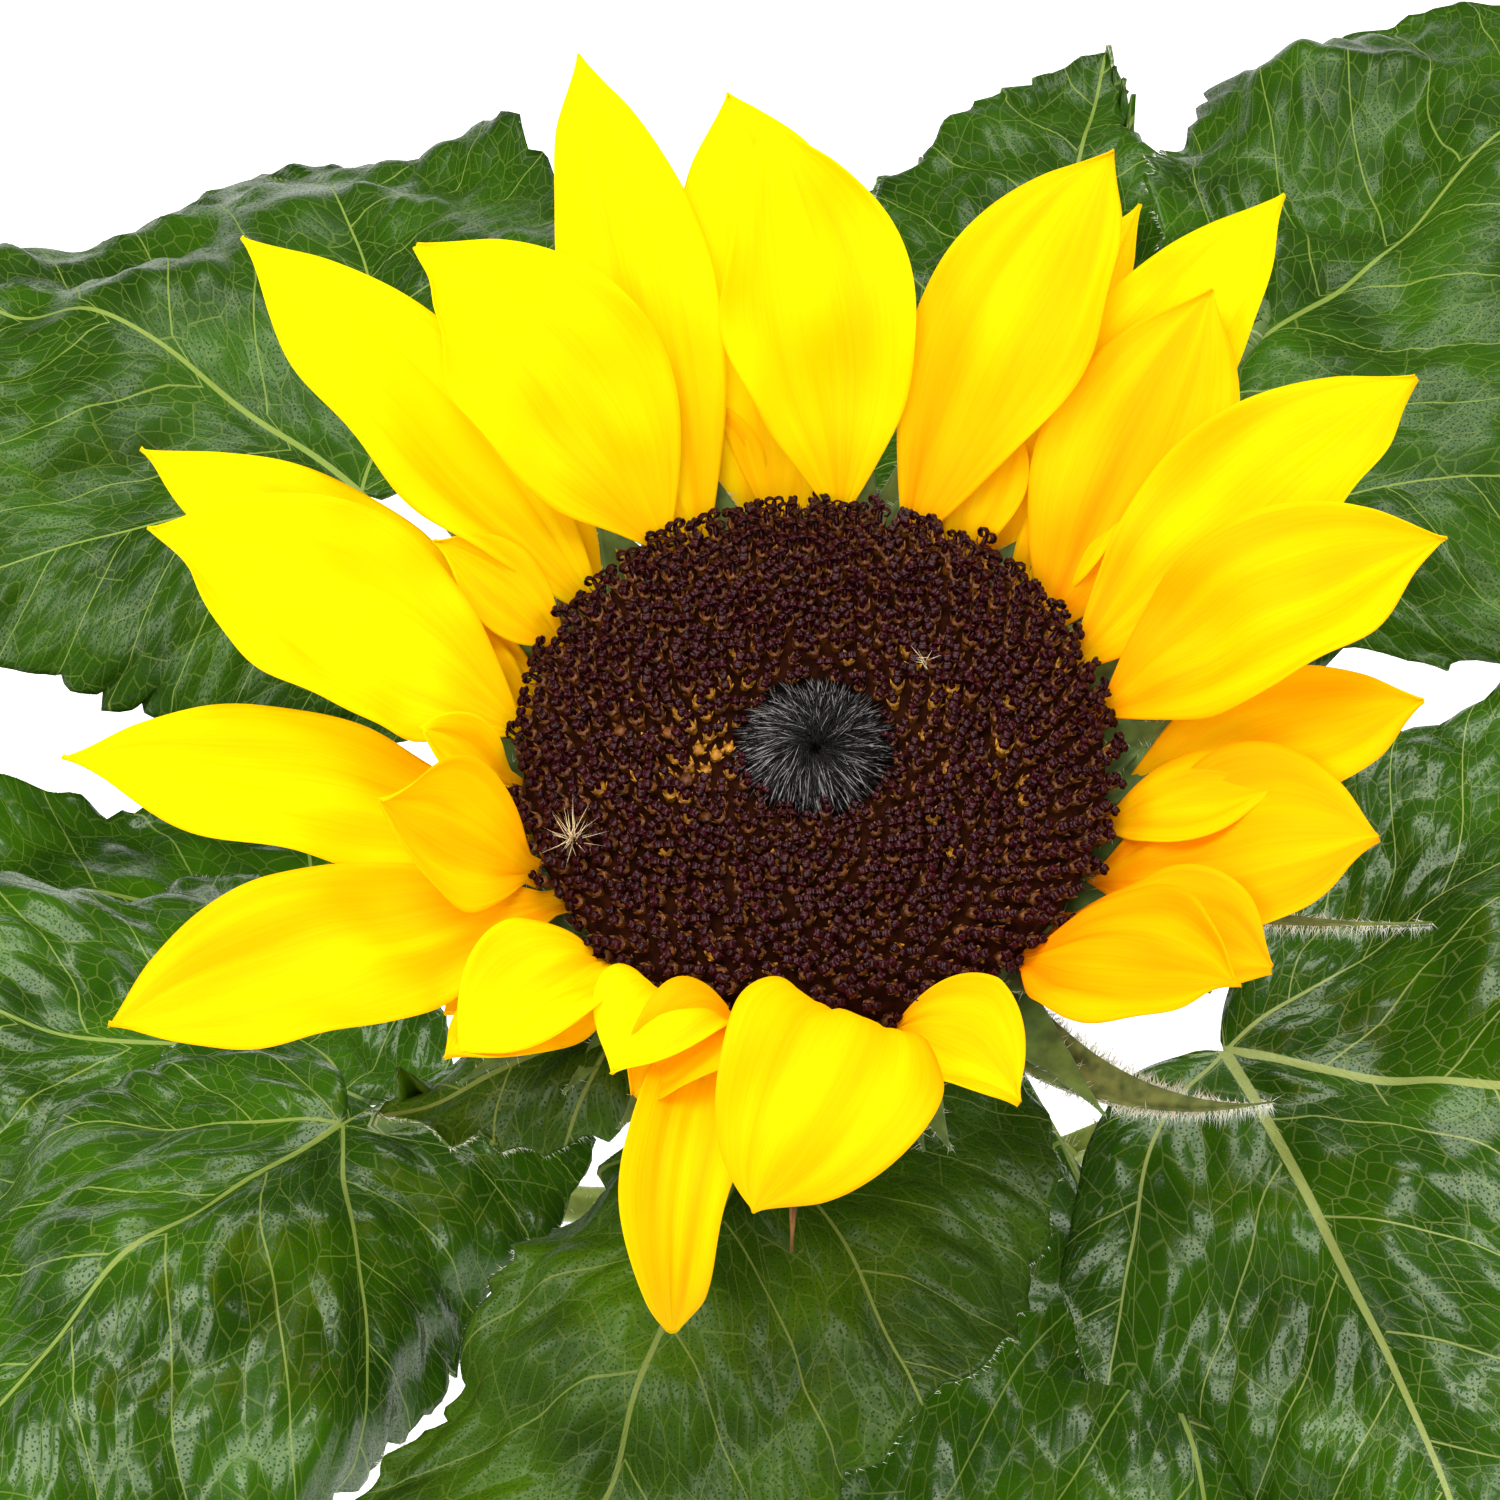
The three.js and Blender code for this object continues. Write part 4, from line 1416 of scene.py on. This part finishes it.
        # the foot of each half runs back past the joint
        back = halves(c, plan.lobes) * plan.length * np.sin(0.75 * np.pi * size**0.6) * (1 - t) ** 2.5
        grid = point - tangent * back[..., None] + side * (np.sign(c) * out)[..., None] + up * rise[..., None]
        u, v = t * plan.length - back, c * half
        sides = (self.veins(u, v, 1), self.veins(u, v, -1))
        here = VeinMap(*(halves(c[..., None], pair) for pair in zip(*sides)))
        grid = grid + normals_of(grid) * self.relief(here, u, v, c)[..., None]
        keel = 1.25 * bell(here.flat[..., 1], 1.5) * (1 - smooth(u, 30, 110))
        under = self.thick + keel + 0.5 * bell(here.side_mm, 0.9) * (1 - smooth(size, 0.4, 1.0))
        return Blade(grid, self.thick, under, dict(zip(VeinMap._fields, zip(*sides))))

    def stalk_path(self, foot: Array, steps: int = 40) -> Array:
        """Middle line of the stalk, from inside the stem to the blade.

        Args:
            foot: the midrib's foot on the built blade.
            steps: how many points.

        Returns:
            The points.
        """
        plan = self.plan
        centre = STEM.centre(plan.source)
        out = unit((np.array(plan.at) - centre) * [1, 1, 0])
        start = centre + out * (float(STEM.radius(plan.source)) - 1.5)
        arrive = aim(plan.heading, plan.pitch + STALK_RISE)
        end = foot + np.array([0, 0, -0.9])
        reach = np.linalg.norm(end - start) * 0.36
        s = np.linspace(0, 1, steps)[:, None]
        a, b = start + out * reach, end - arrive * reach
        return (1 - s) ** 3 * start + 3 * (1 - s) ** 2 * s * a + 3 * (1 - s) * s**2 * b + s**3 * end

    def stalk(self, path: Array) -> Body:
        """Build the stalk: five ribs, swollen where it leaves the stem.

        Args:
            path: its middle line.

        Returns:
            Points and faces.
        """
        s = np.linspace(0, 1, len(path))
        radius = 2.7 - 1.0 * s**0.7 + 1.3 * np.exp(-s * 14)
        radius[-1] *= 0.5
        turn = round_turn(30)
        return tube(path, radius, 30, 1 + 0.07 * np.cos(5 * turn) + 0.02 * np.cos(15 * turn))


LEAF_PLANS: tuple[LeafPlan, ...] = (
    LeafPlan(
        "front_left", (-56, -10, 328), 226, 8, -55, 102, 90, 288, 12,
        bend=(-82, -50), lobes=(0.26, 0.06), spread=(0.88, 1.05),
    ),
    LeafPlan("left", (-58, 14, 300), 166, 7, -30, 95, 84, 256, 10, 8, (-40, -30)),
    LeafPlan("left_under", (-62, 54, 276), 167, 5, -25, 90, 80, 222, -10, spread=(1.0, 0.55), fine=0.7),
    LeafPlan(
        "back_left", (-58, 88, 330), 134, 8, -35, 105, 108, 300, -27, 38, twist=74, lobes=(0.3, 0.08),
        spread=(0.92, 1.36), taper=1.0, belly=(0.45, 0.45), look=Look.LEAF_DULL,
    ),
    LeafPlan(
        "back_right", (41, 84, 334), 50, 11, -30, 120, 118, 306, 0, -6, lobes=(-0.25, 0.34),
        spread=(0.78, 1.57), foot=(0.08, 0.08), belly=(0.68, 0.68), look=Look.LEAF_DULL,
    ),
    LeafPlan(
        "back", (28, 102, 320), 79, 9, -20, 82, 48, 276,
        bend=(-20, -20), spread=(1.5, 0.7), fine=0.9, look=Look.LEAF_DULL,
    ),
    LeafPlan("back_under", (18, 100, 286), 90, 5, -15, 98, 60, 232, bend=(-20, -20), fine=0.65),
    LeafPlan(
        "right", (50, 4, 322), -30, 10, -42, 108, 138, 286, 10, bend=(-25, -60), mains=(13, -38),
        fine=1.1, look=Look.LEAF_STOUT, lobes=(0.04, 0.08), spread=(1.46, 1.0),
    ),
    LeafPlan(
        "front", (-7, -26, 346), -108, 0, -52, 90, 90, 322, 4, -16, bend=(-36, -36), quilt=1.3,
        look=Look.LEAF_DOWNY, lobes=(0.25, 0.0), spread=(0.84, 0.66), taper=0.9, foot=(0.8, 0.3),
        belly=(0.2, 0.8),
    ),
    LeafPlan(
        "front_under", (32, 4, 304), -74, 0, -48, 100, 84, 240, -12, lobes=(-0.1, 0.5), spread=(0.62, 1.2)
    ),
    LeafPlan(
        "young", (-22, -28, 366), 196, 0, -25, 28, 22, 340, look=Look.LEAF_DOWNY, fine=0.8, framed=False
    ),
    LeafPlan("low_left", (-52, -22, 196), 205, 10, -60, 100, 80, 150, fine=0.6),
    LeafPlan("low_right", (48, 28, 158), 32, 10, -60, 95, 76, 112, fine=0.6),
)


@dataclass
class Foliage(Organ):
    """All leaves with their stalks and the down on them."""

    plans: tuple[LeafPlan, ...] = LEAF_PLANS
    fringe_hairs: int = 420      # on one blade
    stalk_hairs: int = 320       # on one stalk

    def build(self) -> None:
        """Make a blade and a stalk for each leaf, then the hairs on all of them."""
        fringe, bristles = [], []
        for i, plan in enumerate(self.plans):
            leaf = Leaf(plan, 100 + 17 * i)
            blade = leaf.blade()
            path = leaf.stalk_path(blade.grid[2, blade.grid.shape[1] // 2])
            look = [self.finishes[plan.look], self.finishes[Look.LEAF_UNDER]]
            name, stalk = f"leaf_{plan.name}", f"stalk_{plan.name}"
            add_piece(f"{name}_blade", blade.mesh(name), look, [name] * plan.framed)
            self.add(f"{stalk}_ribbed", Look.STALK, Slot.STALK, leaf.stalk(path), [stalk] * plan.framed)
            fringe.append(self.fringe(blade, i))
            bristles.append(self.bristles(path, i))
        self.add("leaf_fringe_hairs", Look.HAIR, Slot.LEAF, join(fringe))
        self.add("stalk_bristle_hairs", Look.HAIR, Slot.STALK, join(bristles))

    def fringe(self, blade: Blade, seed: int) -> Body:
        """Short hairs along a blade's edge.

        Args:
            blade: the blade.
            seed: which draw.

        Returns:
            Points and faces.
        """
        rng = np.random.default_rng(900 + seed)
        edge = np.concatenate([blade.grid[:, 0], blade.grid[::-1, -1]])
        inner = np.concatenate([blade.grid[:, 2], blade.grid[::-1, -3]])
        count = self.fringe_hairs
        pick = rng.uniform(1, len(edge) - 2, count)
        low = pick.astype(int)
        origin = between(edge, low, (pick - low)[:, None])
        way = unit(unit(origin - inner[low]) + rng.normal(0, 0.35, (count, 3)))
        return hairs(origin, way, rng.uniform(0.5, 1.1, count), 0.1)

    def bristles(self, path: Array, seed: int) -> Body:
        """Stiff hairs that stand off a stalk.

        Args:
            path: the stalk's middle line.
            seed: which draw.

        Returns:
            Points and faces.
        """
        rng = np.random.default_rng(700 + seed)
        count = self.stalk_hairs
        pick = rng.uniform(0, len(path) - 1.01, count)
        low = pick.astype(int)
        along = unit(path[low + 1] - path[low])
        loose = rng.normal(0, 1, (count, 3))
        out = unit(loose - along * np.sum(loose * along, 1, keepdims=True))
        radius = 2.6 - 0.9 * (pick / len(path)) ** 0.7
        root = between(path, low, (pick - low)[:, None]) + out * radius[:, None]
        return hairs(root, unit(out + 0.25 * along), rng.uniform(0.9, 1.9, count), 0.13)


# ------------------------------------------------------------------ stem and bracts


@dataclass
class Stem(Organ):
    """The ribbed, bristly stem with its flared foot."""

    sides: int = 48
    rows: int = 130
    bristles: int = 2600

    def build(self) -> None:
        """Make the stem's skin and its bristles."""
        z = np.concatenate([[0.0], STEM.height * np.linspace(0.002, 1, self.rows) ** 1.15])
        turn = round_turn(self.sides)
        ribs = 1 + 0.025 * np.cos(11 * turn + 0.4) + 0.012 * np.cos(23 * turn + 1.0)
        radius = STEM.radius(z) * (1 + 0.012 * np.sin(z / 9.0))
        for plan in LEAF_PLANS:
            radius = radius + 0.55 * bell(z - plan.source, 7.0)
        points, faces = tube(STEM.centre(z), radius, self.sides, ribs)
        points[:, 2] = np.maximum(points[:, 2], 0.0)
        self.add("stem_ribbed", Look.STEM, Slot.STEM, (points, faces), ["stem"])
        rng = np.random.default_rng(3)
        count = self.bristles
        high = rng.uniform(6, STEM.height - 2, count)
        out = around(rng.uniform(0, 2 * np.pi, count))
        root = STEM.centre(high) + out * STEM.radius(high)[:, None]
        way = unit(out + rng.normal(0, 0.25, (count, 3)) + [0, 0, -0.1])
        down = hairs(root, way, rng.uniform(1.0, 2.4, count), 0.15)
        self.add("stem_bristle_hairs", Look.HAIR, Slot.STEM, down)


@dataclass(frozen=True)
class Bract:
    """One pointed green bract under the rays, in the bloom's axes."""

    az: float
    radius: float
    height: float
    length: float
    width: float
    lift: float
    curl: float
    sway: float = 0.0
    cup: float = 26.0
    thick: float = 0.3           # millimetres from the middle layer to either side

    def grid(self, rows: int = 19, columns: int = 7) -> Array:
        """Middle points of the bract.

        Args:
            rows: points from foot to tip.
            columns: points from edge to edge.

        Returns:
            The points, in the plant's axes.
        """
        t = np.linspace(0, 1, rows)
        c = np.linspace(-1, 1, columns)
        a = rad(self.az)
        start = (self.radius * math.cos(a), self.radius * math.sin(a), self.height)
        spine = Spine(start, self.length, self.az, self.lift, self.curl, 1.3, self.sway)
        shape = (0.75 + 0.25 * np.sin(np.clip(t / 0.3, 0, 1) * np.pi / 2)) * (1 - t**1.1) ** 1.25
        grid = spine.cupped(t, c, np.maximum(self.width / 2 * shape, 0.12)[:, None], self.cup)
        rib = -0.3 * bell(c, 0.16)[None] * (1 - t[:, None])
        return BLOOM.place(grid + normals_of(grid) * rib[..., None])

    def body(self) -> Body:
        """The bract as a thin closed body."""
        grid = self.grid()
        return Blade(grid, self.thick, self.thick).points(), [np.concatenate(blade_faces(*grid.shape[:2]))]

    def down(self, rng: np.random.Generator, grown: float, count: int = 60) -> Body:
        """Fine hairs along the edges and the middle.

        Args:
            rng: source of the random draws.
            grown: how long and thick they are, as a share of the usual.
            count: how many.

        Returns:
            Points and faces.
        """
        grid = self.grid()
        middle = grid.shape[1] // 2
        line = np.concatenate([grid[:, 0], grid[:, -1], grid[:, middle]])
        inner = np.concatenate([grid[:, middle + 1]] * 3)
        pick = rng.integers(0, len(line) - 1, count)
        pick = np.where((pick + 1) % len(grid) == 0, pick - 1, pick)
        root = between(line, pick, rng.random((count, 1)))
        out = unit(line[pick] - inner[pick] + BLOOM.turn([0, 0, -1.0]) * 0.6)
        way = unit(out + rng.normal(0, 0.4, (count, 3)))
        return hairs(root, way, rng.uniform(0.6, 1.6, count) * grown, 0.07 * grown)


# how many bracts in a row, then their radius, height, length and lift
BRACT_ROWS = (
    (40, 31.0, -8.6, 14, 33), (17, 30.5, -12.2, 27, 16), (14, 26.0, -14.6, 29, 4), (12, 20.0, -17.0, 27, -4),
)
LONG_BRACT = Bract(-52, 31.0, -12.6, 35, 10.0, -2, 4, 62, 40)
THIN_BRACT = Bract(-18, 31.0, -13.0, 40, 4.6, 4, -2, 20, 60)
DRY_BRACTS = (
    Bract(84, 31, -12, 46, 5, 12, -4),
    Bract(75, 31, -12, 43, 5, 12, 0),
    Bract(-93, 31, -12, 22, 4.5, -8, -30),
)


@dataclass
class Involucre(Organ):
    """Green back of the bloom with rows of pointed, downy bracts."""

    seed: int = 21

    def bracts(self) -> list[Bract]:
        """Lay out the rows of bracts, shorter towards the front where leaves crowd them.

        Returns:
            The bracts, row by row.
        """
        rng = np.random.default_rng(self.seed)
        made = []
        for row, (count, radius, height, length, lift) in enumerate(BRACT_ROWS):
            for k in range(count):
                az = 360 * (k + 0.5 * row) / count + rng.uniform(-4, 4)
                front = float(bell((az + 90 + 180) % 360 - 180, 70))
                long = length * rng.uniform(0.85, 1.12) * (1 - 0.35 * front)
                shape = (rng.uniform(9.5, 12.0), lift + rng.uniform(-3, 3), rng.uniform(-18, 6))
                made.append(Bract(az, radius, height, long, *shape, rng.uniform(-8, 8)))
        return made

    def build(self) -> None:
        """Make the back, the bracts, the two long loose ones and their hairs."""
        self.back()
        bracts = self.bracts()
        rows = join(bract.body() for bract in bracts)
        self.add("bract_rows", Look.BRACT, Slot.BRACT, rows, ["bract_cup"])
        for name, bract in (("bract_long", LONG_BRACT), ("bract_thin", THIN_BRACT)):
            self.add(f"{name}_curled", Look.BRACT_OLIVE, Slot.BRACT, bract.body(), [name])
        dry = join(bract.body() for bract in DRY_BRACTS)
        self.add("bract_dry_tips", Look.BRACT_DRY, Slot.BRACT, dry)
        rng = np.random.default_rng(self.seed + 1)
        down = [bract.down(rng, 1.0) for bract in bracts]
        down += [bract.down(rng, 1.6) for bract in [LONG_BRACT] * 22 + [THIN_BRACT] * 12]
        self.add("bract_down_hairs", Look.HAIR, Slot.BRACT, join(down))

    def back(self) -> None:
        """Lathe the fleshy back of the bloom, from the stem's top to the rim."""
        outline = (
            (0.5, -23.5), (5.6, -23.2), (6.4, -21.0), (9, -19.5), (14, -17.6), (20, -15.5), (26, -13.2),
            (29.5, -11.5), (31, -10.2), (31.4, -9), (31.2, -3.4), (30.4, -2.9), (29.0, -3.4), (0.5, -3.8),
        )
        ribs = 1 + 0.012 * np.cos(21 * LATHE_TURN)
        body = BLOOM.body(*lathe(*np.array(outline).T, ribs))
        self.add("bloom_back", Look.BRACT, Slot.BRACT, body, ["bloom_base"])


# ------------------------------------------------------------------ studio


@dataclass
class Studio:
    """White light-table floor, soft boxes and the camera."""

    distance: float = 600.0
    down: float = 50.0
    lens: float = 129.6
    right: float = 7.2
    low: float = 0.8
    floor_half: float = 6000.0
    aim: tuple[float, float, float] = (0.0, 0.0, 0.33)  # metres; where the soft boxes point

    def build(self) -> None:
        """Make the floor, the lights, the surroundings and the camera."""
        self.floor()
        self.lights()
        self.camera()

    def floor(self) -> None:
        """A wide white floor that glows faintly, as a light table does."""
        corners = np.array([[-1, -1, 0], [1, -1, 0], [1, 1, 0], [-1, 1, 0]]) * self.floor_half
        mesh = new_mesh("floor", corners, [np.array([[0, 1, 2, 3]])])
        look, node = new_material("light_table_white")
        glow = {
            "Base Color": linear("#f8f8f8"), "Roughness": 0.8, "Specular IOR Level": 0.1,
            "Emission Color": linear("#ffffff"), "Emission Strength": 0.45,
        }
        node(OUTPUT, {}, [node(SKIN, {}, glow)])
        mesh.materials.append(look)
        add_object("floor", mesh)

    def lights(self) -> None:
        """Soft boxes behind, left, right and in front, and a pale surround."""
        boxes = (
            ("box_back", (0.1, 1.0, 1.75), 1.0, 20.0),
            ("box_top", (-0.25, -0.3, 2.0), 0.75, 18.0),
            ("box_left", (-1.25, -0.1, 1.3), 0.7, 14.0),
            ("box_right", (1.25, 0.1, 1.2), 0.7, 12.0),
            ("box_front", (-0.2, -1.3, 1.45), 0.9, 18.0),
        )
        for name, place, size, watts in boxes:
            lamp = bpy.data.lights.new(name, "AREA")
            lamp.size, lamp.energy = size, watts
            box = add_object(name, lamp)
            box.location = place
            x, y, z = np.array(self.aim) - np.array(place)
            fall = math.atan2(-z, math.hypot(x, y))
            box.rotation_euler = (math.pi / 2 - fall, 0, math.atan2(y, x) - math.pi / 2)
        scene = bpy.context.scene
        scene.world = bpy.data.worlds.new("surround")
        scene.world.use_nodes = True
        surround = scene.world.node_tree.nodes["Background"].inputs
        surround[0].default_value, surround[1].default_value = linear("#ffffff"), 0.06
        scene.view_settings.view_transform = "Standard"

    def camera(self) -> None:
        """A long lens that looks down on the bloom from the front."""
        view = bpy.data.cameras.new("camera")
        view.lens, view.sensor_width = self.lens, 36.0
        view.clip_start, view.clip_end = 0.01, 50.0
        camera = add_object("camera", view)
        down = rad(self.down)
        y = BLOOM.y - self.distance * math.cos(down) + self.low * math.sin(down)
        z = BLOOM.z + self.distance * math.sin(down) + self.low * math.cos(down)
        camera.location = ((BLOOM.x - self.right) * MM, y * MM, z * MM)
        camera.rotation_euler = (math.pi / 2 - down, 0, 0)
        bpy.context.scene.camera = camera


def main() -> None:
    """Load the frame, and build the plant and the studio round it."""
    logging.basicConfig(level=logging.INFO, format="%(name)s %(message)s")
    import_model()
    finishes = {look: look.value.material() for look in Look}
    for part in (Stem, Involucre, Foliage, RayCrown, Disc):
        part(finishes).build()
    Studio().build()


if __name__ == "__main__":
    main()
